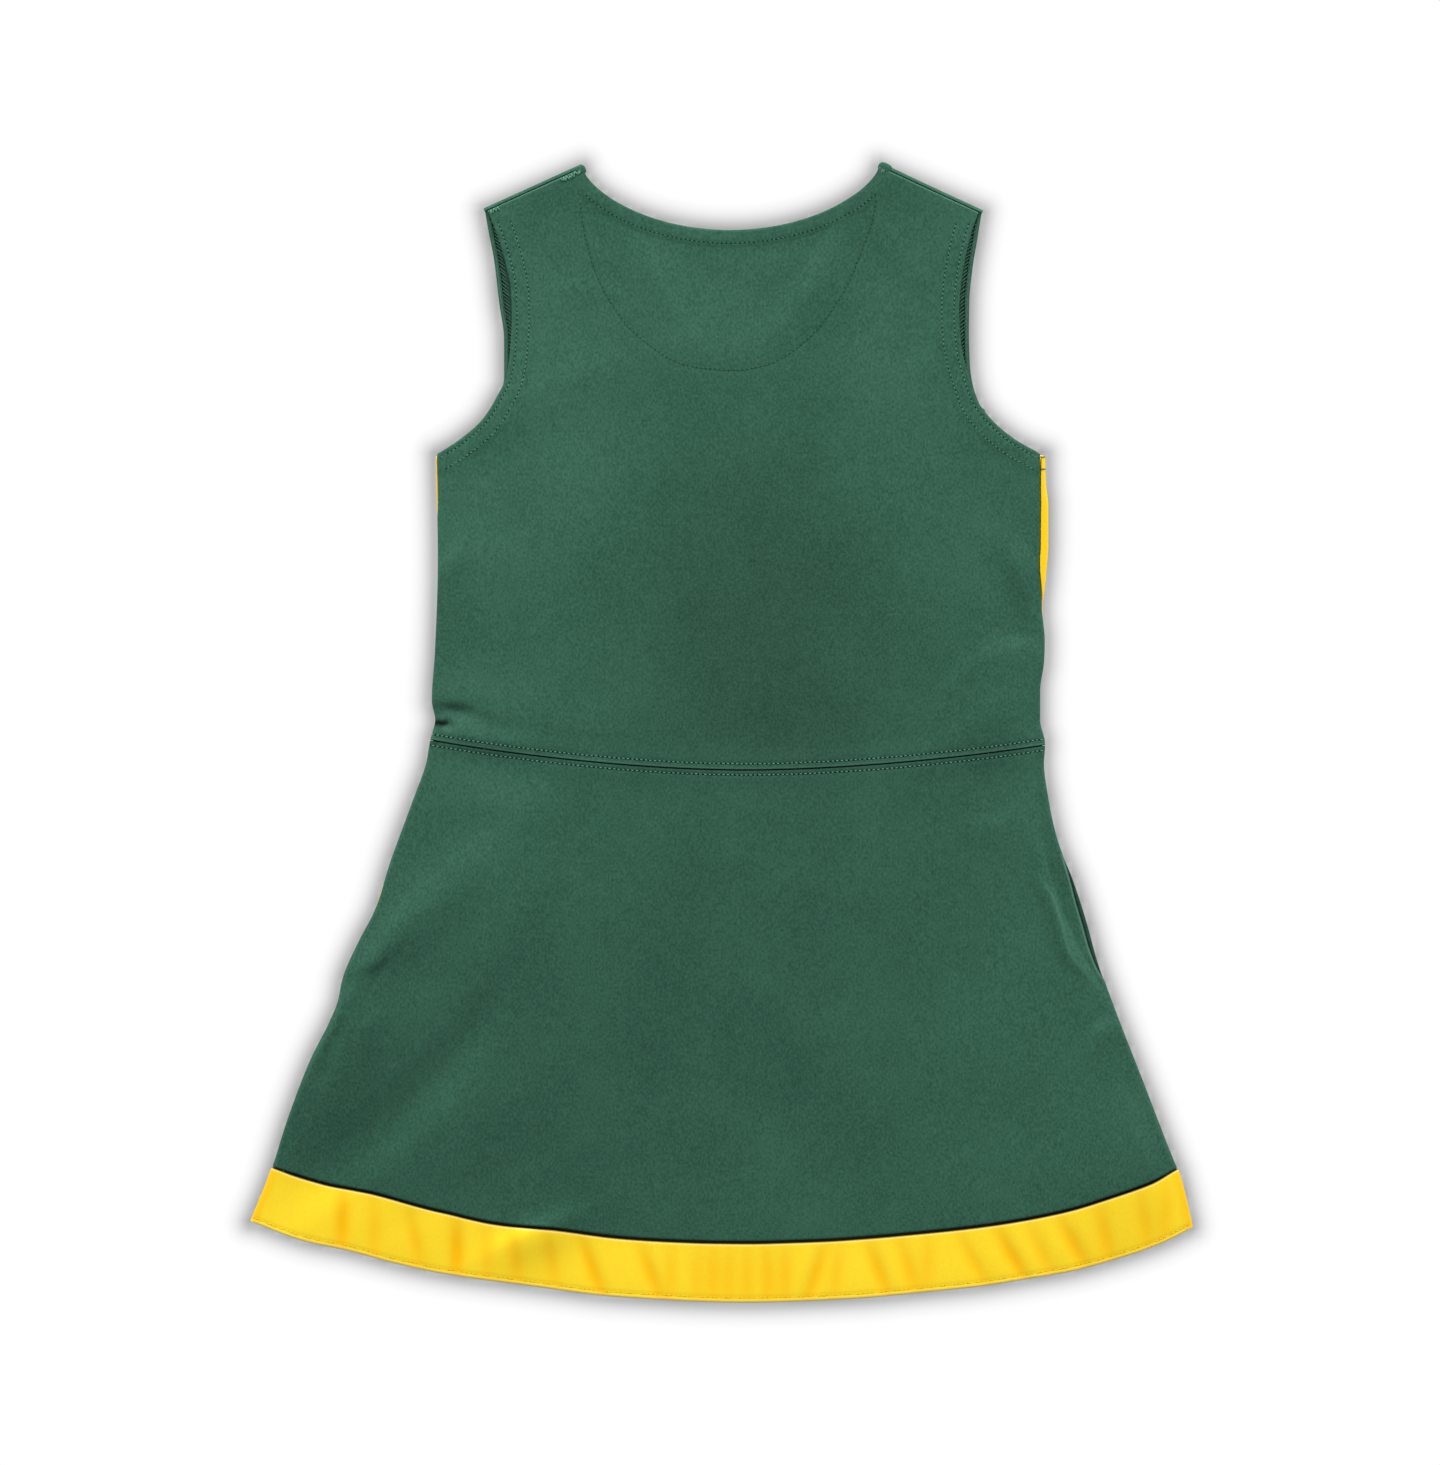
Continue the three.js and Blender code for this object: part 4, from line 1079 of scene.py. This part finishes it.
def threads(starts, ends, surface, radius, rise, sink):
    """Arcs of thread from hole to hole, as closed tubes: points and quads."""
    n, m = len(starts), len(STATIONS)
    t = STATIONS[None, :, None]
    path = starts[:, None, :] * (1 - t) + ends[:, None, :] * t
    foot, normal = surface(path[..., 0], path[..., 1])
    arc = np.sin(math.pi * STATIONS) ** 0.5
    centre = foot + normal * (rise * arc - sink * (1 - arc))[None, :, None]
    ahead = unit(np.gradient(centre, axis=1))
    beside_it = unit(np.cross(normal, ahead))
    up = np.cross(ahead, beside_it)
    thick = radius * (0.55 + 0.45 * arc)[None, :, None] * (1 + 0.12 * rng.standard_normal(n))[:, None, None]
    rings = []
    for i in range(SIDES_OF_THREAD):
        turn = 2 * math.pi * i / SIDES_OF_THREAD
        rings.append(centre + thick * (math.cos(turn) * beside_it + math.sin(turn) * up))
    points = np.stack(rings, 2)  # stitch, station, side
    ids = np.arange(n * m * SIDES_OF_THREAD).reshape(n, m, SIDES_OF_THREAD)
    wrap = np.roll(ids, -1, 2)
    faces = [np.stack([ids[:, :-1], wrap[:, :-1], wrap[:, 1:], ids[:, 1:]], -1).reshape(-1, 4)]
    for end, order in ((0, (0, 5, 4, 1)), (0, (1, 4, 3, 2)), (-1, (0, 1, 4, 5)), (-1, (1, 2, 3, 4))):
        faces.append(ids[:, end][:, order])
    return points.reshape(-1, 3), np.concatenate(faces)


def pits(places, surface, radius):
    """Small dark lens-shaped marks where the needle went in, which barely stand out: their dark colour is painted
    shadow of the holes.
    """
    foot, normal = surface(places[:, 0], places[:, 1])
    side = unit(np.cross(normal, np.array([0.0, 1.0, 0.0])))
    up = np.cross(normal, side)
    points = []
    for i in range(8):
        turn = 2 * math.pi * i / 8
        points.append(foot + normal * 0.04 + radius * (math.cos(turn) * side + math.sin(turn) * up))
    points.append(foot + normal * 0.1)
    points.append(foot - normal * 0.1)
    points = np.stack(points, 1)
    ids = np.arange(len(places) * 10).reshape(-1, 10)
    faces = []
    for i in range(0, 8, 2):
        faces.append(ids[:, [i, (i + 1) % 8, (i + 2) % 8, 8]])
        faces.append(ids[:, [(i + 2) % 8, (i + 1) % 8, i, 9]])
    return points.reshape(-1, 3), np.concatenate(faces)


class Joined:
    """Meshes gathered into one object."""

    def __init__(self):
        self.points, self.faces, self.count = [], [], 0

    def add(self, points, faces):
        self.points.append(points)
        self.faces.append(faces + self.count)
        self.count += len(points)

    def made(self, name):
        return mesh_object(name, np.concatenate(self.points), np.concatenate(self.faces))


def sew(thread, holes, line, surface, radius=0.2, rise=0.14, hole=0.5):
    """A row of stitches along a line."""
    places = along_line(line, PITCH)
    places = places + HOLE_DRIFT * rng.standard_normal(places.shape)
    trim = (1 - THREAD_SHARE) / 2
    starts = lerp(places[:-1], places[1:], trim)
    ends = lerp(places[:-1], places[1:], 1 - trim)
    thread.add(*threads(starts, ends, surface, radius, rise, THREAD_SINK))
    holes.add(*pits(places, surface, hole))


def zigzag(thread, line, depth, surface, pitch, radius=0.16, rise=0.1, uneven=0.1):
    """Threads that run to and fro across the strip between a line and its offset."""
    edge = along_line(line, pitch)
    far = along_line(offset_line(line, depth), pitch)
    count = min(len(edge), len(far))
    corners = np.where((np.arange(count) % 2 == 0)[:, None], edge[:count], far[:count])
    corners = corners + uneven * rng.standard_normal(corners.shape)
    thread.add(*threads(corners[:-1], corners[1:], surface, radius, rise, 0.05))


def part_of(line, low, high):
    """The stretch of a line of points between two heights."""
    return line[(line[:, 1] > low) & (line[:, 1] < high)]


def bodice_surface(x, y):
    return outer_face(lay_back, x, y, back_bodice_relief(x, y))


def facing_surface(x, y):
    """The face that the facing's stitches lie on, above the furrow that they draw."""
    return outer_face(lay_back, x, y, back_bodice_relief(x, y) + FACING_FURROW)


def skirt_surface(x, y):
    return outer_face(lay_back, x, y, waist_relief(waist_y(x) - y, x, SKIRT_ROW))


def band_surface(x, y):
    return outer_face(lay_back, x, y, 0.3 + furrow(y - hem_y(x), HEM_ROW, 0.14))


def row_on(line, by, start, end, count):
    """A line of points at a distance above a line across the dress."""
    x = np.linspace(start, end, count)
    return np.stack([x, line(x) + by], -1)


def waist_row(by):
    """The same above the waist seam, from side fold to side fold."""
    return row_on(waist_y, by, LEFT.crest_x(-5.0) + 0.6, RIGHT.crest_x(-5.0) - 0.6, 400)


def one_row(name, line, surface, **sizes):
    """One row of stitches and its needle marks."""
    thread, holes = Joined(), Joined()
    sew(thread, holes, line, surface, **sizes)
    return thread.made(f"{name}_stitches"), holes.made(f"{name}_needle_marks")


def front_inside(x, y):
    return outer_face(lay_front, x, y, 0.3 + 0 * x)


def front_outside(drawn_back):
    """The face of the front that lies on the surface, drawn back by a furrow's depth."""

    def surface(x, y):
        foot = lay_front(x, y)
        down = np.zeros_like(foot)
        down[..., 2] = -1
        return foot + down * (CLOTH / 2 - drawn_back), down

    return surface


def right_fold_surface(d, y):
    """The outer face of the right side panel, by cloth from the fold's crest and by height."""
    inner, normal = outer_face(lambda a, b: round_fold(RIGHT, a, b), d, y, 0 * d)
    return inner - normal * CLOTH, -normal


def back_bodice_sewing():
    thread, sunk, holes = Joined(), Joined(), Joined()
    sew(thread, holes, waist_row(WAIST_ROW), bodice_surface)
    neck = part_of(offset_line(NECK_BACK, -NECK_ROW), 0, NECK_ROW_TOP)
    sew(sunk, holes, neck, bodice_surface, radius=0.17, rise=0.06, hole=0.42)
    sew(sunk, holes, part_of(FACING, 0, 266), facing_surface, radius=0.11, rise=0.0, hole=0.27)
    for side in SIDES:
        for row in ARMHOLE_ROWS:
            line = part_of(offset_line(armhole_line(side), side.sign * row), UNDERARM - row, side.tip[1] - 5)
            sew(thread, holes, line, bodice_surface, radius=0.15, rise=0.08, hole=0.38)
    made = thread.made("back_bodice_stitches"), sunk.made("back_bodice_sunk_stitches")
    return *made, holes.made("back_bodice_needle_marks")


def shoulder_tacks():
    """Lumps of thread where the shoulder seams are fastened off: at the neck points and at the left tip."""
    thread = Joined()
    for side, reach, thick in ((LEFT, 12, 0.3), (RIGHT, 4, 0.16)):
        along = np.linspace(1.5, reach, 20)[:, None] * -side.along
        zigzag(thread, side.neck + along - side.out * 0.6, side.sign * -2.0, bodice_surface, 0.75, thick, 0.22, 0.3)
    tab = LEFT.tip + np.linspace(0.8, 6, 12)[:, None] * LEFT.along - LEFT.out * 2.8
    zigzag(thread, tab, 2.2, bodice_surface, 0.8, 0.26, 0.2, 0.25)
    return thread.made("back_bodice_tacks")


def blunt(value, power):
    return np.sign(value) * np.abs(value) ** power


def neck_ends():
    """The rounded ends of the neck's hem, which stand up at the neck points."""
    gathered = Joined()
    for side, shift, half in ((LEFT, (-1.4, -1.6), (3.2, 2.5)), (RIGHT, (3.0, -0.9), (3.6, 2.5))):
        centre = side.neck + np.array(shift)
        middle_z = (FRONT_LEVEL + back_height(*centre)) / 2
        half_z = (back_height(*centre) - FRONT_LEVEL) / 2 + CLOTH / 2 + 0.2
        along = np.linspace(0, 2 * math.pi, 33)[:-1]
        rise = np.linspace(-math.pi / 2, math.pi / 2, 13)
        turn, lift = np.meshgrid(along, rise)
        u = half[0] * blunt(np.cos(turn), 0.7) * np.cos(lift) ** 0.4
        v = half[1] * blunt(np.sin(turn), 0.7) * np.cos(lift) ** 0.4
        z = middle_z + half_z * blunt(np.sin(lift), 0.8)
        x = centre[0] + u * side.along[0] + v * side.out[0]
        y = centre[1] + u * side.along[1] + v * side.out[1]
        ids = np.arange(turn.size).reshape(turn.shape)
        ahead = np.roll(ids, -1, 1)
        faces = np.stack([ids[:-1], ahead[:-1], ahead[1:], ids[1:]], -1).reshape(-1, 4)
        if side.sign > 0:
            faces = faces[:, ::-1]
        gathered.add(np.stack([x, y, z], -1).reshape(-1, 3), faces)
    return gathered.made("back_bodice_neck_ends")


def armhole_loops():
    """The coverstitch inside the front's armholes, seen past the back's edge."""
    thread = Joined()
    for side in SIDES:
        line = part_of(armhole_line(side, side.front_armhole_x), UNDERARM + 8, side.tip[1] - 4)
        strip = offset_line(line, side.sign * (STRIP + 0.4))
        zigzag(thread, strip, side.sign * (ARMHOLE_ROWS[1] - STRIP), front_inside, 0.95, 0.2, 0.22)
        for row in (STRIP, ARMHOLE_ROWS[1]):
            edge = offset_line(line, side.sign * row)
            zigzag(thread, edge, side.sign * 0.6, front_inside, 0.9, 0.2, 0.3)
    return thread.made("front_bodice_loops")


def front_bodice_sewing():
    thread, holes = Joined(), Joined()
    sew(thread, holes, row_on(waist_y, FRONT_ROW, -112, 130, 300), front_outside(0.27), rise=0.0, hole=0.26)
    neck = part_of(offset_line(NECK_FRONT, -NECK_ROW), 0, NECK_ROW_TOP)
    sew(thread, holes, neck, front_outside(0.25), rise=0.0, hole=0.26)
    for side in SIDES:
        for row in ARMHOLE_ROWS:
            line = offset_line(armhole_line(side, side.front_armhole_x), side.sign * row)
            line = part_of(line, FRONT_SEAM_TOP, side.tip[1] - 5)
            sew(thread, holes, line, front_outside(0.25), rise=0.0, hole=0.24)
    return thread.made("front_bodice_stitches"), holes.made("front_bodice_needle_marks")


def front_skirt_sewing():
    line = row_on(waist_y, -FRONT_ROW, -117, 133, 300)
    return one_row("front_skirt", line, front_outside(0.27), rise=0.0, hole=0.26)


def back_skirt_sewing():
    return one_row("back_skirt", waist_row(-SKIRT_ROW), skirt_surface)


def back_band_sewing():
    line = row_on(hem_y, HEM_ROW, -233, 233, 500)
    return one_row("back_hem_band", line, band_surface, radius=0.14, rise=0.05, hole=0.3)


def front_band_sewing():
    line = row_on(front_hem_y, HEM_ROW, -222, 222, 500)
    return one_row("front_hem_band", line, front_outside(0.25), radius=0.14, rise=0.0, hole=0.26)


def underarm_sewing():
    """Green thread of the armhole rows, where it crosses the gold of the right side panel."""
    thread = Joined()
    for row in ARMHOLE_ROWS:
        y = UNDERARM - row + 1.0
        ends = np.array([[-0.8, y], [3.4, y + 0.15]])
        thread.add(*threads(ends[:1], ends[1:], right_fold_surface, 0.3, 0.14, 0.05))
    return thread.made("right_bodice_side_stitches")


# Materials

WALE, COURSE = 0.85, 1.05  # of the knit


def new_material(name):
    made = bpy.data.materials.new(name)
    made.use_nodes = True
    made.node_tree.nodes.clear()
    return made


def node(tree, kind, inputs=None, **settings):
    """A new node. Its inputs, by name or number, are values or sockets to link to."""
    made = tree.nodes.new(kind)
    for key, value in settings.items():
        setattr(made, key, value)
    for key, value in (inputs or {}).items():
        if isinstance(value, bpy.types.NodeSocket):
            tree.links.new(value, made.inputs[key])
        else:
            made.inputs[key].default_value = value
    return made


def math_node(tree, operation, *values):
    return node(tree, "ShaderNodeMath", dict(enumerate(values)), operation=operation).outputs[0]


def colour_mix(tree, blend, factor, a, b):
    inputs = {0: factor, 6: a, 7: b}
    return node(tree, "ShaderNodeMix", inputs, data_type="RGBA", blend_type=blend).outputs[2]


def noise(tree, vector, scale, stretch=(1, 1, 1), detail=2.0):
    """A noise whose features are scale millimetres across, stretched along the axes."""
    sizes = [1000 / scale / s for s in stretch]
    mapped = node(tree, "ShaderNodeMapping", {"Vector": vector, "Scale": sizes})
    inputs = {"Vector": mapped.outputs[0], "Scale": 1.0, "Detail": detail, "Roughness": 0.5}
    return node(tree, "ShaderNodeTexNoise", inputs).outputs["Fac"]


def mesh_value(tree, name):
    return node(tree, "ShaderNodeAttribute", attribute_type="GEOMETRY", attribute_name=name).outputs["Fac"]


def knit(name, dark, light, edge, highlight_share, deep, grain, sheen_tint, roughness):
    """Fine warp knit: wales and courses, a grain of filament yarn, soft unevenness of the dye, and painted
    highlights.

    The mesh's "edge" is painted highlight along edges, seams and ridges; "crease" is painted shade in puckers and on
    side rolls, and the side panels' deeper own tint; "shade" is broad painted light and shade, painted shadow in
    seams, slits and tucks, and the side panels' darker own colour."""
    made = new_material(name)
    tree = made.node_tree
    place = node(tree, "ShaderNodeTexCoord").outputs["Object"]
    drift = noise(tree, place, 7, detail=1.0)
    split = node(tree, "ShaderNodeSeparateXYZ", inputs={"Vector": place})
    x = math_node(tree, "MULTIPLY_ADD", drift, 0.0016, split.outputs["X"])
    y = math_node(tree, "MULTIPLY_ADD", drift, 0.0012, split.outputs["Y"])
    wales = math_node(tree, "SINE", math_node(tree, "MULTIPLY", x, 2 * math.pi / (WALE * MM)))
    courses = math_node(tree, "SINE", math_node(tree, "MULTIPLY", y, 2 * math.pi / (COURSE * MM)))
    loops = math_node(tree, "MULTIPLY", wales, courses)
    fine = noise(tree, place, 0.9, (1, 1.5, 1), detail=2.0)
    soft = noise(tree, place, 4.5, (1, 1.3, 1), detail=1.0)
    broad = noise(tree, place, 55, detail=2.0)
    tone = math_node(tree, "MULTIPLY_ADD", fine, grain, 0.5 - grain / 2)
    tone = math_node(tree, "MULTIPLY_ADD", loops, grain * 0.12, tone)
    tone = math_node(tree, "MULTIPLY_ADD", math_node(tree, "SUBTRACT", soft, 0.5), grain * 0.18, tone)
    tone = math_node(tree, "MULTIPLY_ADD", math_node(tree, "SUBTRACT", broad, 0.5), grain * 0.35, tone)
    colour = colour_mix(tree, "MIX", tone, (*dark, 1), (*light, 1))
    # Painted shade in puckers and on side rolls, and the side panels' deeper own tint: "crease" mixes in a darker
    # colour.
    crease = mesh_value(tree, "crease")
    colour = colour_mix(tree, "MIX", math_node(tree, "MULTIPLY", crease, 0.85), colour, (*deep, 1))
    # Painted highlight: the "edge" mark mixes in a paler colour.
    highlight_mix = math_node(tree, "MULTIPLY", mesh_value(tree, "edge"), highlight_share)
    colour = colour_mix(tree, "MIX", highlight_mix, colour, (*edge, 1))
    # The "shade" mark multiplies the colour: painted light and shade, painted shadow in seams and tucks, and the side
    # panels' own darker colour.
    shade = math_node(tree, "ADD", mesh_value(tree, "shade"), 1.0)
    tint = node(tree, "ShaderNodeCombineColor", inputs={"Red": shade, "Green": shade, "Blue": shade})
    colour = colour_mix(tree, "MULTIPLY", 1.0, colour, tint.outputs[0])
    height = math_node(tree, "MULTIPLY_ADD", loops, 0.25, fine)
    bump = node(
        tree,
        "ShaderNodeBump",
        inputs={"Strength": 0.35, "Distance": 0.00012, "Height": height},
    )
    rough = math_node(tree, "MULTIPLY_ADD", fine, 0.16, roughness - 0.08)
    shader = node(
        tree,
        "ShaderNodeBsdfPrincipled",
        inputs={
            "Base Color": colour,
            "Roughness": rough,
            "Normal": bump.outputs[0],
            "Specular IOR Level": 0.05,
            "Sheen Weight": 0.02,
            "Sheen Roughness": 0.4,
            "Sheen Tint": (*sheen_tint, 1),
        },
    )
    node(tree, "ShaderNodeOutputMaterial", {"Surface": shader.outputs[0]})
    return made


def thread_material(name, dark, light, roughness=0.55, specular=0.2):
    """Spun sewing thread: a fine twist in its colour and relief."""
    made = new_material(name)
    tree = made.node_tree
    place = node(tree, "ShaderNodeTexCoord").outputs["Object"]
    twist = noise(tree, place, 0.25, (1, 1, 1), detail=1.0)
    uneven = noise(tree, place, 9, detail=1.0)
    tone = math_node(tree, "MULTIPLY", math_node(tree, "ADD", twist, uneven), 0.5)
    colour = colour_mix(tree, "MIX", tone, (*dark, 1), (*light, 1))
    bump = node(tree, "ShaderNodeBump", inputs={"Strength": 0.4, "Distance": 0.00005, "Height": twist})
    rough = math_node(tree, "MULTIPLY_ADD", twist, 0.2, roughness - 0.1)
    shader = node(
        tree,
        "ShaderNodeBsdfPrincipled",
        inputs={"Base Color": colour, "Roughness": rough, "Normal": bump.outputs[0], "Specular IOR Level": specular},
    )
    node(tree, "ShaderNodeOutputMaterial", {"Surface": shader.outputs[0]})
    return made


GREEN_DARK, GREEN_LIGHT = (0.0190, 0.0660, 0.0422), (0.0440, 0.1289, 0.0857)
# Colour of painted highlights on green cloth.
GREEN_HIGHLIGHT = (0.12, 0.26, 0.19)
# Colour of painted shade in creases of green cloth.
GREEN_SHADED = (0.012, 0.05, 0.032)
GOLD_DARK, GOLD_LIGHT = (0.95, 0.63, 0.014), (0.99, 0.75, 0.037)
# Colour of painted highlights on gold cloth.
GOLD_HIGHLIGHT = (1.0, 0.86, 0.36)
# Colour of painted shade in puckers and on side rolls of gold cloth, and of the side panels' deeper tint.
GOLD_SHADED = (0.96, 0.47, 0.002)

green = knit("green_knit_look", GREEN_DARK, GREEN_LIGHT, GREEN_HIGHLIGHT, 0.6, GREEN_SHADED, 1.9, (0.5, 0.8, 0.65), 0.72)
gold = knit("gold_knit_look", GOLD_DARK, GOLD_LIGHT, GOLD_HIGHLIGHT, 0.7, GOLD_SHADED, 0.9, (1.0, 0.9, 0.6), 0.72)
green_thread = thread_material("green_thread_look", (0.075, 0.2, 0.14), (0.14, 0.31, 0.23))
dark_thread = thread_material("dark_green_thread_look", (0.02, 0.07, 0.045), (0.05, 0.14, 0.1))
loop_thread = thread_material("loop_thread_look", (0.03, 0.1, 0.065), (0.065, 0.18, 0.125))
gold_thread = thread_material("gold_thread_look", (0.8, 0.42, 0.006), (0.9, 0.55, 0.012))
# Colours of the needle marks: painted shadow of the holes.
green_pit = thread_material("green_needle_mark_look", (0.002, 0.012, 0.007), (0.005, 0.024, 0.015), 0.9, 0.0)
gold_pit = thread_material("gold_needle_mark_look", (0.5, 0.24, 0.004), (0.65, 0.33, 0.006), 0.9, 0.0)


def finish_piece(piece, material, node_name=None):
    piece.data.materials.append(material)
    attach(piece, "root")
    if node_name:
        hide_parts(node_name)
    return piece


def cloth(piece, slot_name, node_name):
    finish_piece(piece, green if slot_name == "green_knit" else gold, node_name)


def sewn(pair, materials):
    return [finish_piece(piece, material) for piece, material in zip(pair, materials)]


bodice_sewing = sewn(back_bodice_sewing(), (green_thread, loop_thread, green_pit))
bodice_sewing += sewn([shoulder_tacks(), neck_ends()], [green_thread, green])
skirt_sewing = sewn(back_skirt_sewing(), (green_thread, green_pit))
band_sewing = sewn(back_band_sewing(), (gold_thread, gold_pit))
front_sewing = sewn(front_bodice_sewing(), (green_thread, green_pit))
front_sewing += sewn([armhole_loops()], [loop_thread])
front_skirt_rows = sewn(front_skirt_sewing(), (green_thread, green_pit))
front_band_rows = sewn(front_band_sewing(), (gold_thread, gold_pit))
side_sewing = sewn([underarm_sewing()], [dark_thread])

cloth(back_bodice(), "green_knit", "back_bodice")
cloth(back_skirt(), "green_knit", "back_skirt")
cloth(back_hem_band(), "gold_knit", "back_hem_band")
cloth(front_bodice(), "green_knit", "front_bodice")
cloth(front_skirt(), "green_knit", "front_skirt")
cloth(front_hem_band(), "gold_knit", "front_hem_band")
for each_side in SIDES:
    name = each_side.name
    cloth(bodice_side(each_side), "gold_knit", f"{name}_bodice_side")
    cloth(skirt_side(each_side), "gold_knit", f"{name}_skirt_side")


# Floor, light and camera

FLOOR_SIZE = 6000
FLOOR_LEVEL = -0.2  # just below the cloth
FLOOR_STEP = 4  # between the points of the floor near the dress
FLOOR_NEAR = (320, 360)  # half width and half height of that part
# Brightness of the glowing floor at distances from the dress: a painted soft shadow that rings it.
SHADOW_RING = [
    (0, 0.37), (1, 0.425), (2, 0.485), (3, 0.546), (4, 0.61), (5, 0.68), (6, 0.738), (7, 0.795), (8, 0.84),
    (9, 0.88), (10, 0.91), (12, 0.955), (14, 0.983), (16, 1.0),
]
RING_REACH = SHADOW_RING[-1][0]


def outline():
    """The dress as seen from above, as a closed line of points."""
    y = np.linspace(-245, UNDERARM, 160)
    sides = []
    for side in SIDES:
        arm_y = np.linspace(UNDERARM, side.tip[1], 60)
        front_x, back_x = side.front_armhole_x(arm_y), side.back_armhole_x(arm_y)
        arm_x = side.sign * np.maximum(side.sign * front_x, side.sign * back_x)
        sides.append(np.stack([np.concatenate([side.crest_x(y), arm_x]), np.concatenate([y, arm_y])], -1))
    left, right = sides
    hem_x = np.linspace(235, -235, 160)
    hem = np.stack([hem_x, hem_y(hem_x)], -1)
    return np.concatenate([left, NECK_BACK, right[::-1], hem, left[:1]])


def floor():
    near_x, near_y = FLOOR_NEAR
    far = FLOOR_SIZE / 2
    xs = np.concatenate([[-far], np.arange(-near_x, near_x + 1, FLOOR_STEP), [far]])
    ys = np.concatenate([[-far], np.arange(-near_y, near_y + 1, FLOOR_STEP), [far]])
    x, y = np.meshgrid(xs, ys)
    ids = np.arange(x.size).reshape(x.shape)
    faces = np.stack([ids[:-1, :-1], ids[:-1, 1:], ids[1:, 1:], ids[1:, :-1]], -1).reshape(-1, 4)
    points = np.stack([x, y, np.full(x.shape, FLOOR_LEVEL)], -1).reshape(-1, 3)
    made = mesh_object("floor", points, faces, {"from_dress": gap_to(outline(), x, y).ravel()})
    look = new_material("floor_look")
    tree = look.node_tree
    share = math_node(tree, "DIVIDE", mesh_value(tree, "from_dress"), float(RING_REACH))
    ramp = node(tree, "ShaderNodeValToRGB", inputs={"Fac": share})
    stops = ramp.color_ramp.elements
    stops[0].position, stops[1].position = 0.0, 1.0
    for distance, shade in SHADOW_RING[1:-1]:
        stops.new(distance / RING_REACH)
    for stop, (_, shade) in zip(stops, SHADOW_RING):
        stop.color = (shade, shade, shade, 1)
    # The floor glows evenly, except for the painted shadow ring round the dress.
    shader = node(tree, "ShaderNodeEmission", inputs={"Color": ramp.outputs[0], "Strength": 1.02})
    node(tree, "ShaderNodeOutputMaterial", {"Surface": shader.outputs[0]})
    made.data.materials.append(look)


def area_light(name, place, size, power):
    """A soft lamp that shines at the middle of the dress."""
    light = bpy.data.lights.new(name, "AREA")
    light.shape = "RECTANGLE"
    light.size, light.size_y = size
    light.energy = power
    made = bpy.data.objects.new(name, light)
    made.location = place
    x, y, z = place
    made.rotation_euler = (math.atan2(math.hypot(x, y), z), 0, math.atan2(y, x) + math.pi / 2)
    bpy.context.scene.collection.objects.link(made)


def camera(view_width=0.72, lens=150.0):
    data = bpy.data.cameras.new("camera")
    data.sensor_fit = "HORIZONTAL"
    data.sensor_width = 36
    data.lens = lens
    data.clip_end = 20
    made = bpy.data.objects.new("camera", data)
    made.location = (-0.0005, 0, view_width * lens / data.sensor_width)
    bpy.context.scene.collection.objects.link(made)
    bpy.context.scene.camera = made


def world(strength):
    made = bpy.data.worlds.new("studio")
    made.use_nodes = True
    back = made.node_tree.nodes["Background"]
    back.inputs["Color"].default_value = (1, 1, 1, 1)
    back.inputs["Strength"].default_value = strength
    bpy.context.scene.world = made


def far_light(name, azimuth, elevation, share, distance=3.6, size=(0.9, 0.5)):
    """A soft low light that gives flat cloth in the middle a share of its brightness."""
    a, e = math.radians(azimuth), math.radians(elevation)
    place = [distance * math.cos(e) * math.cos(a), distance * math.cos(e) * math.sin(a), distance * math.sin(e)]
    area_light(name, place, size, share * math.pi ** 2 * distance ** 2 / math.sin(e))


def near_light(name, place, share, size=(0.3, 0.3)):
    distance = math.hypot(*place)
    area_light(name, place, size, share * math.pi ** 2 * distance ** 3 / place[2])


floor()
world(0.32)
far_light("upper_left_light", 125, 20, 0.23)
far_light("upper_right_light", 55, 20, 0.23)
far_light("top_light", 90, 20, 0.14)
near_light("left_light", (-0.8, 0.25, 0.33), 0.115)
near_light("right_light", (0.8, 0.25, 0.33), 0.115)
camera()
bpy.context.scene.view_settings.view_transform = "Standard"
